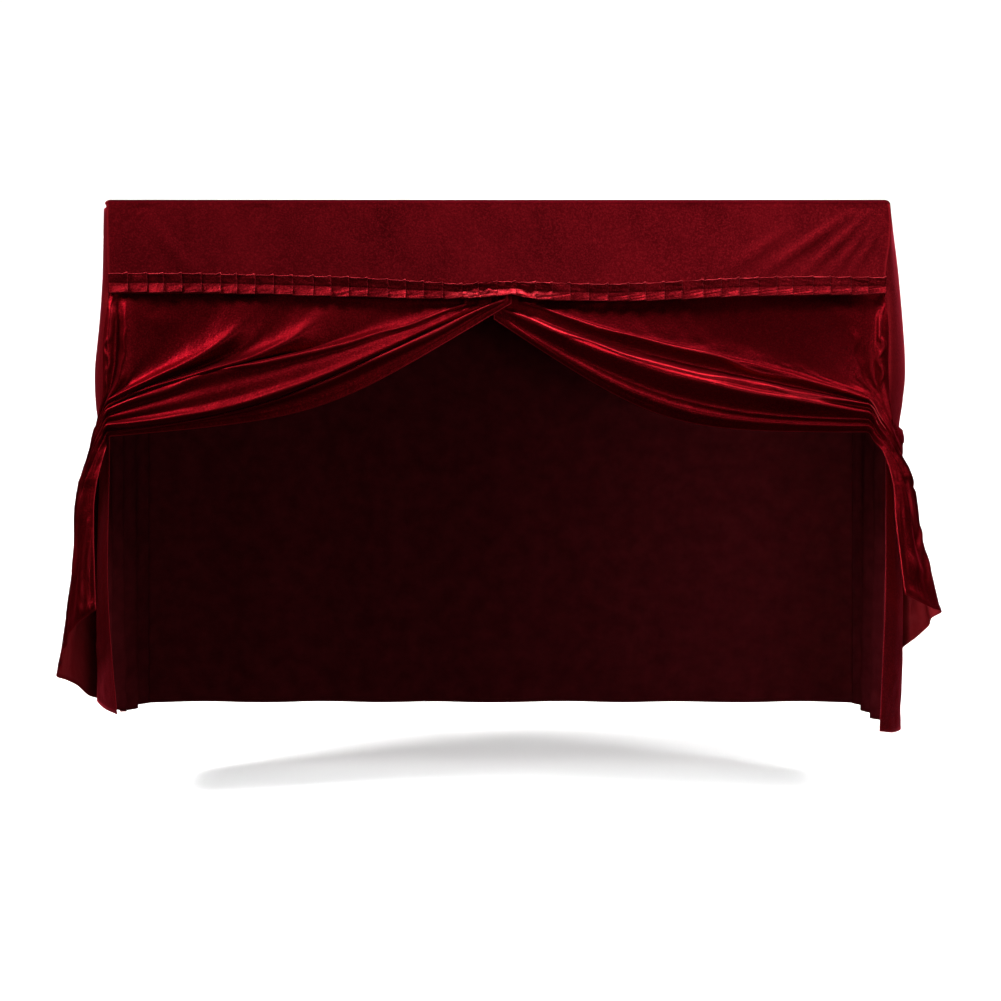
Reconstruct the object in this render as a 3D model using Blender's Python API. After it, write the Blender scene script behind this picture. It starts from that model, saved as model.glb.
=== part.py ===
"""Fitted velvet cover for an upright piano, hanging as it does on the piano, which is left out.

Metres. Origin: centre of the underside of the top panel, where the piano's lid bears on it.
+X is to the right of someone facing the front, the front faces -Y, +Z is up.
Each piece of cloth is one thin closed sheet, laid out from a short table of its folds.
"""

import bmesh
import bpy
import numpy as np

for old in list(bpy.data.objects):
    bpy.data.objects.remove(old, do_unlink=True)

# ---------------------------------------------------------------- named sizes
WALL = 0.0016  # cloth with its pile
TRIM_WALL = 0.0012
TOP_HALF_X = 0.7700  # flat part of the top, left and right of the middle
TOP_HALF_Y = 0.1800
TOP_Z = WALL / 2
CORNER_X = 0.0080  # how softly the sides turn down
CORNER_Y = 0.0070  # how softly the front and the back turn down
FRONT_Y = -0.1878
BACK_Y = 0.1878
SIDE_X = 0.7660  # the case's side: the side panels hang outside it
VALANCE_Z = -0.1860
CURTAIN_TOP_Z = -0.1700
CURTAIN_TOP_Y = {"left": -0.1838, "right": -0.1800}
CLEAR_AT_TUCK = {"left": 0.0060, "right": 0.0120}  # how much further a curtain stands off the side panel there
CASE_CORNER = (0.7665, -0.1905)  # (x, y) of the upright corner that the curtains are drawn round
# Where the first and the last fold of a curtain pass the side of that corner; the others lie between, in order.
TURN = {
    "left": ((0.792, -0.183, -0.440), (0.768, -0.222, -0.508)),
    "right": ((0.780, -0.191, -0.438), (0.752, -0.222, -0.494)),
}
FULL = (0.34, 0.52)  # how fully a fold hangs, as its two tangents' share of the straight way: outermost, innermost
PLEATS = 42
TRIM_BACK_Y = -0.1900

# ---------------------------------------------------------------- fold tables
# A curtain's folds, outermost first. Each fold leaves the trim at (top_x, top_z), heading `leaves` degrees
# below level, and comes to the corner at (tuck_x, tuck_z) heading `arrives` degrees below level. It stands
# `swag` mm forward on the way and `knot` mm at the corner, then falls outside the case to its point on the
# hem. x is measured towards the curtain's own side.
FOLD = ("name", "top_x", "top_z", "leaves", "arrives", "tuck_x", "tuck_z", "swag", "knot", "fall_x", "fall_y", "fall_z", "hem_x", "hem_y", "hem_z")
LEFT = (
    ("wrap", 0.766, -0.180, 75, 90, 0.779, -0.378, 4, 1, 0.808, 0.105, -0.545, 0.812, 0.150, -1.050),
    ("outer", 0.760, -0.180, 80, 85, 0.774, -0.381, 13, 6, 0.815, 0.090, -0.555, 0.818, 0.130, -1.047),
    ("outer_dip", 0.752, -0.180, 85, 70, 0.769, -0.384, 1, 1, 0.810, 0.070, -0.560, 0.812, 0.105, -1.044),
    ("slack_1", 0.735, -0.181, 90, 50, 0.765, -0.387, 14, 9, 0.828, 0.045, -0.570, 0.824, 0.075, -1.040),
    ("slack_2", 0.660, -0.183, 90, 40, 0.764, -0.390, 3, 6, 0.812, 0.015, -0.585, 0.820, 0.040, -1.035),
    ("slack_3", 0.580, -0.185, 95, 33, 0.764, -0.393, 8, 12, 0.832, -0.015, -0.600, 0.828, 0.000, -1.030),
    ("b_crest", 0.495, -0.187, 90, 29, 0.764, -0.396, 23, 20, 0.826, -0.040, -0.615, 0.822, -0.040, -1.020),
    ("b_valley", 0.410, -0.187, 72, 28, 0.764, -0.400, 6, 9, 0.814, -0.065, -0.635, 0.838, -0.080, -1.005),
    ("c_crest", 0.320, -0.197, 56, 27, 0.764, -0.405, 23, 22, 0.838, -0.090, -0.655, 0.857, -0.100, -0.980),
    ("c_valley", 0.195, -0.205, 38, 26, 0.764, -0.410, 5, 10, 0.820, -0.112, -0.680, 0.874, -0.120, -0.965),
    ("a_crest", 0.070, -0.205, 25, 25, 0.764, -0.415, 24, 26, 0.848, -0.132, -0.700, 0.886, -0.146, -0.952),
    ("a_dip", 0.062, -0.206, 25, 18, 0.764, -0.423, 21, 20, 0.826, -0.150, -0.700, 0.872, -0.164, -0.925),
    ("t_crest", 0.052, -0.206, 25, 12, 0.764, -0.430, 26, 25, 0.842, -0.165, -0.698, 0.868, -0.182, -0.900),
    ("t_dip", 0.043, -0.206, 25, 8, 0.764, -0.437, 31, 20, 0.826, -0.180, -0.695, 0.852, -0.196, -0.880),
    ("roll", 0.034, -0.205, 25, 4, 0.764, -0.444, 36, 30, 0.838, -0.195, -0.690, 0.846, -0.212, -0.860),
    ("d_valley", 0.014, -0.206, 23, 3, 0.764, -0.451, 12, 15, 0.818, -0.214, -0.682, 0.832, -0.232, -0.845),
    ("d_crest", -0.014, -0.195, 25, 6, 0.764, -0.458, 25, 24, 0.816, -0.232, -0.675, 0.818, -0.248, -0.830),
    ("e_dip", -0.021, -0.199, 28, 8, 0.764, -0.463, 13, 13, 0.800, -0.243, -0.667, 0.798, -0.260, -0.815),
    ("edge", -0.028, -0.205, 31, 5, 0.764, -0.468, 8, 10, 0.784, -0.252, -0.660, 0.776, -0.268, -0.800),
)
RIGHT = (
    ("wrap", 0.766, -0.180, 75, 85, 0.775, -0.366, 4, 1, 0.826, 0.085, -0.545, 0.818, 0.145, -0.975),
    ("outer", 0.760, -0.188, 85, 75, 0.764, -0.370, 13, 7, 0.826, 0.068, -0.552, 0.826, 0.120, -0.968),
    ("outer_dip", 0.746, -0.188, 85, 70, 0.753, -0.374, 1, 2, 0.816, 0.048, -0.560, 0.818, 0.098, -0.962),
    ("slack_1", 0.700, -0.189, 95, 45, 0.742, -0.377, 9, 8, 0.830, 0.025, -0.570, 0.832, 0.070, -0.952),
    ("slack_2", 0.600, -0.191, 90, 30, 0.736, -0.380, 5, 8, 0.816, 0.000, -0.580, 0.824, 0.030, -0.940),
    ("slack_3", 0.480, -0.193, 70, 25, 0.732, -0.383, 7, 11, 0.832, -0.028, -0.590, 0.836, -0.010, -0.928),
    ("b_crest", 0.285, -0.196, 35, 23, 0.731, -0.386, 11, 13, 0.828, -0.052, -0.605, 0.832, -0.045, -0.916),
    ("b_valley", 0.070, -0.200, 22, 21, 0.731, -0.390, 17, 14, 0.818, -0.078, -0.620, 0.832, -0.077, -0.904),
    ("s_crest", 0.039, -0.201, 21, 20, 0.731, -0.394, 20, 23, 0.838, -0.102, -0.630, 0.846, -0.105, -0.884),
    ("s_valley", 0.024, -0.212, 24, 13, 0.731, -0.401, 9, 15, 0.822, -0.126, -0.640, 0.856, -0.130, -0.866),
    ("m_crest", 0.018, -0.216, 24, 10, 0.731, -0.404, 25, 29, 0.842, -0.150, -0.650, 0.864, -0.150, -0.850),
    ("m_dip", 0.014, -0.217, 24, 9, 0.731, -0.411, 30, 23, 0.824, -0.172, -0.650, 0.863, -0.175, -0.832),
    ("roll", 0.010, -0.219, 24, 9, 0.731, -0.419, 35, 28, 0.838, -0.195, -0.645, 0.876, -0.205, -0.814),
    ("d_valley", 0.002, -0.226, 30, 1, 0.731, -0.433, 12, 16, 0.812, -0.216, -0.640, 0.852, -0.232, -0.802),
    ("e_crest", -0.002, -0.231, 31, 1, 0.731, -0.446, 22, 22, 0.806, -0.240, -0.630, 0.828, -0.252, -0.790),
    ("edge", -0.007, -0.236, 33, 0, 0.731, -0.458, 6, 9, 0.776, -0.250, -0.625, 0.790, -0.268, -0.770),
)
# A side panel's folds from the front seam to the back seam: where the fold is front to back at the top
# and at the hem, and how far it stands outside the case at seven heights.
SIDE = ("name", "top_y", "hem_y", "at_top", "at_trim", "at_swag", "at_bag", "at_tuck", "at_low", "at_hem", "hem_z")
SIDE_HEIGHTS = (-0.014, -0.190, -0.340, -0.405, -0.460, -0.750, -1.030)
SIDE_LEFT = (
    ("front_seam", -0.1858, -0.250, 0.0080, 0.0050, 0.0050, 0.0045, 0.0040, 0.0000, -0.0300, -1.006),
    ("front_roll", -0.1680, -0.212, 0.0130, 0.0200, 0.0270, 0.0240, 0.0190, 0.0200, 0.0040, -1.003),
    ("bulge", -0.1320, -0.163, 0.0270, 0.0310, 0.0460, 0.0430, 0.0360, 0.0380, 0.0320, -0.998),
    ("valley_1", -0.0900, -0.110, 0.0180, 0.0220, 0.0350, 0.0340, 0.0320, 0.0220, 0.0150, -1.028),
    ("crest_1", -0.0450, -0.055, 0.0140, 0.0230, 0.0360, 0.0350, 0.0340, 0.0360, 0.0380, -1.037),
    ("valley_2", 0.0000, 0.000, 0.0140, 0.0190, 0.0240, 0.0240, 0.0240, 0.0200, 0.0140, -1.055),
    ("crest_2", 0.0500, 0.050, 0.0140, 0.0200, 0.0290, 0.0295, 0.0300, 0.0350, 0.0380, -1.066),
    ("valley_3", 0.1000, 0.102, 0.0140, 0.0180, 0.0220, 0.0220, 0.0220, 0.0180, 0.0140, -1.071),
    ("crest_3", 0.1450, 0.150, 0.0140, 0.0160, 0.0200, 0.0210, 0.0220, 0.0260, 0.0300, -1.075),
    ("back_seam", 0.1862, 0.1862, 0.0120, 0.0105, 0.0100, 0.0100, 0.0100, 0.0100, 0.0095, -1.078),
)
SIDE_RIGHT = (
    ("front_seam", -0.1858, -0.212, 0.0125, 0.0050, 0.0060, 0.0060, 0.0060, 0.0020, -0.0120, -1.048),
    ("front_roll", -0.1680, -0.186, 0.0170, 0.0270, 0.0320, 0.0265, 0.0210, 0.0290, 0.0200, -1.056),
    ("bulge", -0.1320, -0.140, 0.0250, 0.0460, 0.0560, 0.0500, 0.0420, 0.0460, 0.0440, -1.058),
    ("valley_1", -0.0900, -0.092, 0.0200, 0.0300, 0.0400, 0.0400, 0.0390, 0.0240, 0.0160, -1.062),
    ("crest_1", -0.0450, -0.044, 0.0180, 0.0290, 0.0390, 0.0400, 0.0400, 0.0400, 0.0420, -1.066),
    ("valley_2", 0.0000, 0.004, 0.0140, 0.0230, 0.0270, 0.0255, 0.0240, 0.0190, 0.0130, -1.070),
    ("crest_2", 0.0500, 0.056, 0.0140, 0.0230, 0.0300, 0.0300, 0.0300, 0.0340, 0.0360, -1.074),
    ("valley_3", 0.1000, 0.106, 0.0140, 0.0180, 0.0220, 0.0220, 0.0220, 0.0170, 0.0130, -1.076),
    ("crest_3", 0.1450, 0.152, 0.0140, 0.0170, 0.0220, 0.0220, 0.0220, 0.0250, 0.0280, -1.077),
    ("back_seam", 0.1862, 0.1862, 0.0120, 0.0105, 0.0100, 0.0100, 0.0100, 0.0100, 0.0095, -1.078),
)
# Soft folds of the back panel: where each is at the top and at the hem, and how far it stands out there.
BACK = ("top_x", "hem_x", "out_top", "out_hem")
BACK_FOLDS = (
    (-0.774, -0.774, 0.000, 0.000), (-0.640, -0.655, 0.001, 0.014), (-0.520, -0.525, 0.000, 0.003),
    (-0.400, -0.385, 0.001, 0.015), (-0.270, -0.265, 0.000, 0.004), (-0.140, -0.150, 0.001, 0.012),
    (0.000, -0.010, 0.000, 0.002), (0.130, 0.140, 0.001, 0.015), (0.260, 0.270, 0.000, 0.004),
    (0.390, 0.380, 0.001, 0.013), (0.520, 0.530, 0.000, 0.003), (0.650, 0.660, 0.001, 0.014),
    (0.774, 0.774, 0.000, 0.000),
)
# Creases pulled across a flat piece: from one end to the other, how wide and how high, in metres.
CREASE = ("x1", "z1", "x2", "z2", "wide", "high")
VALANCE_CREASES = (
    (0.571, -0.062, 0.464, -0.137, 0.013, 0.0035),
    (0.700, -0.028, 0.533, -0.141, 0.012, 0.0050),
    (0.740, -0.024, 0.615, -0.141, 0.011, 0.0050),
    (0.752, -0.036, 0.668, -0.141, 0.010, 0.0045),
    (0.762, -0.050, 0.706, -0.141, 0.010, 0.0040),
    (-0.700, -0.030, -0.610, -0.140, 0.016, 0.0025),
    (-0.420, -0.040, -0.250, -0.120, 0.030, 0.0012),
    (0.050, -0.060, 0.230, -0.130, 0.030, 0.0012),
)
TOP_CREASES = (
    (-0.60, -0.12, -0.35, 0.10, 0.030, 0.0016),
    (-0.10, -0.10, 0.14, 0.09, 0.034, 0.0014),
    (0.42, -0.11, 0.62, 0.11, 0.030, 0.0016),
)
# How far out the front's two side edges are, going down: the seams bow a little.
EDGE = ("z", "left_x", "right_x")
VALANCE_EDGES = (
    (0.000, 0.7740, 0.7785), (-0.045, 0.7745, 0.7825), (-0.090, 0.7740, 0.7790),
    (-0.125, 0.7735, 0.7735), (-0.150, 0.7720, 0.7710), (-0.190, 0.7700, 0.7700),
)
# The trim's upper and lower edge along the front.
TRIM = ("x", "upper_z", "lower_z")
TRIM_EDGES = (
    (-0.7700, -0.1450, -0.1838), (-0.600, -0.1455, -0.1832), (-0.450, -0.1488, -0.1868),
    (-0.300, -0.1524, -0.1912), (-0.160, -0.1608, -0.1962), (-0.070, -0.1670, -0.1940),
    (0.000, -0.1620, -0.1912), (0.025, -0.1620, -0.1870), (0.050, -0.1630, -0.1920), (0.080, -0.1630, -0.1975), (0.210, -0.1673, -0.2010),
    (0.320, -0.1635, -0.1985), (0.470, -0.1550, -0.1905), (0.600, -0.1515, -0.1890),
    (0.7710, -0.1536, -0.1860),
)


# ---------------------------------------------------------------- curves
def columns(table, names):
    return {name: np.array([row[i] for row in table], dtype=object if name == "name" else float) for i, name in enumerate(names)}


def ease(x):
    x = np.clip(x, 0.0, 1.0)
    return x * x * (3.0 - 2.0 * x)


def through(rows, steps):
    """A smooth curve through the rows of an array, with this many steps between each pair."""
    rows = np.asarray(rows, float)
    ends = np.concatenate([[2 * rows[0] - rows[1]], rows, [2 * rows[-1] - rows[-2]]])
    gap = np.sqrt(np.linalg.norm(np.diff(ends, axis=0).reshape(len(rows) + 1, -1), axis=1)) + 1e-4  # close rows pull less
    out = []
    t = (np.arange(steps) / steps).reshape((-1,) + (1,) * (rows.ndim - 1))
    for i in range(len(rows) - 1):
        a, b, c, d = ends[i], ends[i + 1], ends[i + 2], ends[i + 3]
        p, q, r = gap[i], gap[i + 1], gap[i + 2]
        leave = q * ((b - a) / p - (c - a) / (p + q) + (c - b) / q)
        arrive = q * ((c - b) / q - (d - b) / (q + r) + (d - c) / r)
        out.append(b + leave * t + (3 * (c - b) - 2 * leave - arrive) * t**2 + (2 * (b - c) + leave + arrive) * t**3)
    return np.concatenate(out + [rows[-1:]])


def bezier(p0, p1, p2, p3, t):
    t = t[:, None]
    return (1 - t) ** 3 * p0 + 3 * (1 - t) ** 2 * t * p1 + 3 * (1 - t) * t * t * p2 + t**3 * p3


def creased(x, z, table):
    """How far a set of creases raises each point."""
    total = np.zeros(np.shape(x))
    for row in table:
        c = dict(zip(CREASE, row))
        run = np.array([c["x2"] - c["x1"], c["z2"] - c["z1"]])
        long = np.hypot(*run)
        run = run / long
        along = (x - c["x1"]) * run[0] + (z - c["z1"]) * run[1]
        across = -(x - c["x1"]) * run[1] + (z - c["z1"]) * run[0]
        share = np.clip(along / long, 0, 1)
        off = np.hypot(across, np.minimum(along, 0) + np.maximum(along - long, 0))
        total += c["high"] * (0.4 + 0.6 * np.sin(np.pi * share)) * np.exp(-((off / c["wide"]) ** 2))
    return total


# ---------------------------------------------------------------- surfaces
def top_grid(nx, ny):
    x, y = np.meshgrid(np.linspace(-TOP_HALF_X, TOP_HALF_X, nx), np.linspace(-TOP_HALF_Y, TOP_HALF_Y, ny), indexing="ij")
    edge = ease((TOP_HALF_X - abs(x)) / 0.03) * ease((TOP_HALF_Y - abs(y)) / 0.03)
    return np.stack([x, y, TOP_Z + creased(x, y, TOP_CREASES) * edge], axis=-1)


def down_the_edge(deep, radius, steps):
    """(how far out, how far down) along a strip that lies on the top's edge, turns over it and hangs."""
    turn = [(radius * np.sin(a), radius * (1 - np.cos(a))) for a in np.linspace(0.12, np.pi / 2, 3)]
    hang = [(radius, radius + (deep - radius) * s) for s in np.linspace(0, 1, steps + 1)[1:]]
    return np.array(turn + hang)


def valance_grid(nx, steps):
    edges = columns(VALANCE_EDGES, EDGE)
    half = np.linspace(-1, 1, nx)
    rows = down_the_edge(-VALANCE_Z + TOP_Z, CORNER_Y, steps)
    grid = np.empty((nx, len(rows), 3))
    for j, (out, down) in enumerate(rows):
        turned = np.sqrt(1 - (1 - min(down / CORNER_X, 1)) ** 2)
        z = TOP_Z - down
        least = TOP_HALF_X - 0.0007
        right = least + (np.interp(-z, -edges["z"], edges["right_x"]) - least) * turned
        left = least + (np.interp(-z, -edges["z"], edges["left_x"]) - least) * turned
        x = (right - left) / 2 + half * (right + left) / 2
        pull = creased(x, np.full(nx, z), VALANCE_CREASES) * ease((down - CORNER_Y) / 0.02)
        grid[:, j, 0] = x
        grid[:, j, 1] = -TOP_HALF_Y - 0.0008 - out - pull
        grid[:, j, 2] = z
    return grid


def back_grid(between, steps):
    c = columns(BACK_FOLDS, BACK)
    rows = down_the_edge(1.078, CORNER_Y, steps)
    lines = []
    for out, down in rows:
        share = ease(max(down - 0.02, 0) / 1.06)
        turned = np.sqrt(1 - (1 - min(down / CORNER_X, 1)) ** 2)
        x = c["top_x"] + (c["hem_x"] - c["top_x"]) * share
        x = x * (TOP_HALF_X + 0.0005 + 0.0085 * turned - 0.0010 * share) / c["hem_x"].max()
        y = TOP_HALF_Y + 0.0008 + out + c["out_top"] * min(down / 0.03, 1) + (c["out_hem"] - c["out_top"]) * share
        lines.append(through(np.stack([x, y, np.full(len(x), TOP_Z - down)], axis=-1), between))
    return np.array(lines)[:, ::-1].transpose(1, 0, 2)


def side_stations(table, steps):
    """Each fold of a side panel as a line of points from the top's edge to the hem, x towards that side."""
    c = columns(table, SIDE)
    out_at = np.stack([c[k] for k in ("at_top", "at_trim", "at_swag", "at_bag", "at_tuck", "at_low", "at_hem")], axis=-1)
    heights = np.array(SIDE_HEIGHTS)
    lines = []
    for i in range(len(table)):
        turn = []
        for a in (0.14, 0.75, 1.30):
            turn.append((TOP_HALF_X + 0.0008 + CORNER_X * np.sin(a), c["top_y"][i] * (1 - 0.036 * np.cos(a)), TOP_Z - CORNER_X * (1 - np.cos(a))))
        down = -0.014 + (c["hem_z"][i] + 0.014) * np.linspace(0, 1, steps + 1)
        guide = through(np.stack([heights, out_at[i]], axis=-1), 12)
        out = np.interp(-down, -guide[:, 0], guide[:, 1])
        share = ease((-down - 0.46) / 0.60)
        y = c["top_y"][i] + (c["hem_y"][i] - c["top_y"][i]) * share
        if i == 0:  # below the trim the curtain covers this edge, which lies a little behind it
            y = y + 0.0035 * ease((-down - 0.150) / 0.030) * (1 - share)
        hang = np.stack([SIDE_X + out, y, down], axis=-1)
        lines.append(np.concatenate([turn, hang]))
    return np.array(lines)


def side_grid(table, side, between, steps):
    lines = side_stations(table, steps)
    grid = np.stack([through(lines[:, j], between) for j in range(lines.shape[1])], axis=1)
    return grid * ((-1, 1, 1) if side == "left" else (1, 1, 1))


def outside_of(table):
    """How far out a side panel is, for any (y, z): the curtain hangs outside it."""
    lines = through(side_stations(table, 24), 4)

    def out(y, z):
        best = np.zeros(np.shape(y))
        for j in range(lines.shape[1]):
            near = np.exp(-(((lines[0, j, 2] - z) / 0.035) ** 2))
            wide = np.max([np.interp(lines[:, j, 1] + d, lines[:, j, 1], lines[:, j, 0]) for d in (-0.012, 0, 0.012)], axis=0)
            ys = np.concatenate([[lines[0, j, 1] - 0.012, lines[0, j, 1] - 0.004], lines[:, j, 1]])
            xs = np.concatenate([[wide[0] - 0.030, wide[0]], wide])
            here = np.interp(y, ys, xs, left=0.0, right=lines[-1, j, 0])
            best = np.maximum(best, np.where(near > 0.3, here, 0))
        return best

    return out


def curtain_strands(table, side, hang_steps, turn_steps, fall_steps):
    """Each fold of a curtain as a line of points from behind the trim to the hem, x towards that side."""
    c = columns(table, FOLD)
    first, last = np.array(TURN[side])
    lines = []
    for i in range(len(table)):
        v = {k: c[k][i] for k in FOLD}
        swag, knot = v["swag"] / 1000, v["knot"] / 1000
        top = np.array([v["top_x"], CURTAIN_TOP_Y[side], CURTAIN_TOP_Z])
        start = np.array([v["top_x"], CURTAIN_TOP_Y[side] + 0.0005 - 0.02 * swag, v["top_z"]])
        tuck = np.array([v["tuck_x"], FRONT_Y - 0.006 - knot, v["tuck_z"]])
        order = i / (len(table) - 1)
        handle = (FULL[0] + (FULL[1] - FULL[0]) * order**4) * np.hypot(tuck[0] - start[0], tuck[2] - start[2])
        leaves, arrives = np.radians(v["leaves"]), np.radians(v["arrives"])
        g1 = np.array([start[0] + handle * np.cos(leaves), FRONT_Y - 0.003 - 1.15 * swag, start[2] - handle * np.sin(leaves)])
        g2 = np.array([tuck[0] - handle * np.cos(arrives), FRONT_Y - 0.006 - 1.15 * swag, tuck[2] + handle * np.sin(arrives)])
        hang = bezier(start, g1, g2, tuck, ease_in(np.linspace(0, 1, hang_steps + 1)))
        before = bezier(start, g1, g2, tuck, np.array([0.88]))[0]

        turn = first + (last - first) * np.array([order**2.2, order, order]) + knot * np.array([0.40, -0.35, 0.0])
        shoulder = (tuck + turn) / 2
        corner = np.array([*CASE_CORNER, shoulder[2]])
        reach = np.linalg.norm(shoulder - corner)
        shoulder = corner + (shoulder - corner) * max(1.04, (0.0100 + 0.5 * knot) / reach)
        fall = np.array([v["fall_x"], v["fall_y"], v["fall_z"]])
        hem = np.array([v["hem_x"], v["hem_y"], v["hem_z"]])
        bend = turn * 0.45 + fall * 0.55 + np.array([0.002 + 0.45 * knot, 0, 0.012])
        guide = through(np.array([before, tuck, shoulder, turn, bend, fall, (fall + hem) / 2, hem]), 16)
        lines.append(np.concatenate([top[None], hang, even(guide[16:49], turn_steps)[1:], even(guide[48:], fall_steps, 1.4)[1:]]))
    return np.array(lines)


def ease_in(t):
    return t * (0.55 + 0.45 * t) / 1.0


def even(line, steps, closer=1.0):
    """The same line, in equal steps, or in steps that start closer."""
    run = np.concatenate([[0], np.cumsum(np.linalg.norm(np.diff(line, axis=0), axis=1))])
    at = run[-1] * np.linspace(0, 1, steps + 1) ** closer
    return np.stack([np.interp(at, run, line[:, k]) for k in range(3)], axis=-1)


def curtain_grid(table, side_table, side, between, hang_steps, turn_steps, fall_steps, gap=0.0050, first=0.4, clear=None):
    lines = curtain_strands(table, side, hang_steps, turn_steps, fall_steps)
    grid = np.stack([through(lines[:, j], between) for j in range(lines.shape[1])], axis=1)
    out = outside_of(side_table)
    fall = grid[:, hang_steps + 1 :]
    # The curtain's own top edge lies close on the side panel; its next folds stand further off it.
    off = (first + (1 - first) * ease(np.arange(len(grid)) / (3 * between))[:, None]) * (CLEAR_AT_TUCK[side] if clear is None else clear)
    least = out(fall[..., 1], fall[..., 2]) + gap + off * np.exp(-(((fall[..., 2] + 0.445) / 0.07) ** 2))
    over = fall[..., 0] - least
    fall[..., 0] = np.where(least > 0.1, least + 0.5 * (over + np.sqrt(over**2 + 0.004**2)), fall[..., 0])
    return grid * ((-1, 1, 1) if side == "left" else (1, 1, 1))


def trim_grid(rows=(0.0, 0.52, 1.0)):
    """Pressed pleats, all laid the same way, held by a line of stitches along the middle."""
    c = columns(TRIM_EDGES, TRIM)
    wide = (TRIM_EDGES[-1][0] - TRIM_EDGES[0][0]) / PLEATS
    x, up = [], []
    for i in range(PLEATS):
        start = TRIM_EDGES[0][0] + wide * (i + (0.09 * np.sin(0.37 * i * i) if i else 0))
        deep = 0.0050 * (1 + 0.18 * np.sin(0.53 * i * i + 1))
        for share, high in ((0.0, 0.0), (0.93, 1.0)):
            x.append(start + share * wide)
            up.append(high * deep)
    x.append(TRIM_EDGES[-1][0])
    up.append(0.0)
    x, up = np.array(x), np.array(up)
    grid = np.empty((len(x), len(rows), 3))
    for j, share in enumerate(rows):
        upper, lower = np.interp(x, c["x"], c["upper_z"]), np.interp(x, c["x"], c["lower_z"])
        stand = 0.35 + (0.55 * (1 - share / 0.52) if share < 0.52 else 0.95 * (share - 0.52) / 0.48)
        grid[:, j, 0] = x
        grid[:, j, 1] = TRIM_BACK_Y - 0.0004 - stand * up - (0.0035 * max(share - 0.52, 0) / 0.48) - creased(x, grid[:, j, 0] * 0 + upper + (lower - upper) * share, VALANCE_CREASES)
        grid[:, j, 2] = upper + (lower - upper) * share + 0.0012 * np.sin(x * 61) * share
    return grid


# ---------------------------------------------------------------- solids
def cloth(name, colour, rough):
    material = bpy.data.materials.new(name)
    material.use_nodes = True
    shader = material.node_tree.nodes["Principled BSDF"]
    shader.inputs["Base Color"].default_value = (*colour, 1.0)
    shader.inputs["Roughness"].default_value = rough
    shader.inputs["Sheen Weight"].default_value = 0.6
    return material


def sheet(name, grid, wall, material):
    """A cloth whose middle surface is the grid, given its thickness by a Solidify."""
    nu, nv = grid.shape[:2]
    shape = bmesh.new()
    at = [[shape.verts.new(tuple(map(float, grid[i, j]))) for j in range(nv)] for i in range(nu)]
    for i in range(nu - 1):
        for j in range(nv - 1):
            shape.faces.new((at[i][j], at[i + 1][j], at[i + 1][j + 1], at[i][j + 1]))
    mesh = bpy.data.meshes.new(name)
    shape.to_mesh(mesh)
    shape.free()
    mesh.materials.append(material)
    mesh.shade_smooth()
    made = bpy.data.objects.new(name, mesh)
    bpy.context.scene.collection.objects.link(made)
    thick = made.modifiers.new("thickness", "SOLIDIFY")
    thick.thickness = wall
    thick.offset = 0.0
    thick.use_rim = True
    return made


velvet = {}
for piece, colour in (
    ("top_panel", (0.150, 0.006, 0.012)), ("valance_front", (0.170, 0.007, 0.013)), ("pleated_trim", (0.200, 0.009, 0.016)),
    ("curtain_left", (0.180, 0.007, 0.013)), ("curtain_right", (0.180, 0.007, 0.013)), ("side_left", (0.160, 0.006, 0.012)),
    ("side_right", (0.160, 0.006, 0.012)), ("back_panel", (0.150, 0.006, 0.012)),
):
    velvet[piece] = cloth(piece + "_velvet", colour, 0.75)

sheet("top_panel", top_grid(10, 5), WALL, velvet["top_panel"])
sheet("valance_front", valance_grid(24, 4), WALL, velvet["valance_front"])
sheet("back_panel", back_grid(2, 5), WALL, velvet["back_panel"])
sheet("side_left", side_grid(SIDE_LEFT, "left", 2, 8), WALL, velvet["side_left"])
sheet("side_right", side_grid(SIDE_RIGHT, "right", 2, 8), WALL, velvet["side_right"])
sheet("pleated_trim", trim_grid(), TRIM_WALL, velvet["pleated_trim"])
sheet("curtain_left", curtain_grid(LEFT, SIDE_LEFT, "left", 2, 8, 2, 8), WALL, velvet["curtain_left"])
sheet("curtain_right", curtain_grid(RIGHT, SIDE_RIGHT, "right", 2, 8, 2, 8), WALL, velvet["curtain_right"])
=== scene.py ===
"""Looks of the velvet piano cover: each packed cloth is replaced by a finer sheet laid out from the same folds."""

import math

import bpy
import numpy as np
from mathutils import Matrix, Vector


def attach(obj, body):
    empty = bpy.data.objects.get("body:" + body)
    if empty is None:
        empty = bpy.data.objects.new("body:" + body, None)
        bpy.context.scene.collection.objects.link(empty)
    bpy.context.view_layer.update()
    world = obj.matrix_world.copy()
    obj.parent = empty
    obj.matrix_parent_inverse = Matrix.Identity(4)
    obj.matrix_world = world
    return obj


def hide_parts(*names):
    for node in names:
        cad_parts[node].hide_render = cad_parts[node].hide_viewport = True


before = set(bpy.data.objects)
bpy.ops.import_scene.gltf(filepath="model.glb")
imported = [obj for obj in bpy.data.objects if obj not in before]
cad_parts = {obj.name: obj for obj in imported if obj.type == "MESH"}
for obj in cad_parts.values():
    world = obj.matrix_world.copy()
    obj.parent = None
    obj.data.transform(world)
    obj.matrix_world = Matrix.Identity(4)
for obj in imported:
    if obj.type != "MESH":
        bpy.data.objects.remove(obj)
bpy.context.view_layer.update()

# ---------------------------------------------------------------- named sizes
WALL = 0.0016  # cloth with its pile
TRIM_WALL = 0.0012
TOP_HALF_X = 0.7700  # flat part of the top, left and right of the middle
TOP_HALF_Y = 0.1800
TOP_Z = WALL / 2
CORNER_X = 0.0080  # how softly the sides turn down
CORNER_Y = 0.0070  # how softly the front and the back turn down
FRONT_Y = -0.1878
BACK_Y = 0.1878
SIDE_X = 0.7660  # the case's side: the side panels hang outside it
VALANCE_Z = -0.1860
CURTAIN_TOP_Z = -0.1700
CURTAIN_TOP_Y = {"left": -0.1838, "right": -0.1800}
CLEAR_AT_TUCK = {"left": 0.0060, "right": 0.0120}  # how much further a curtain stands off the side panel there
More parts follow.
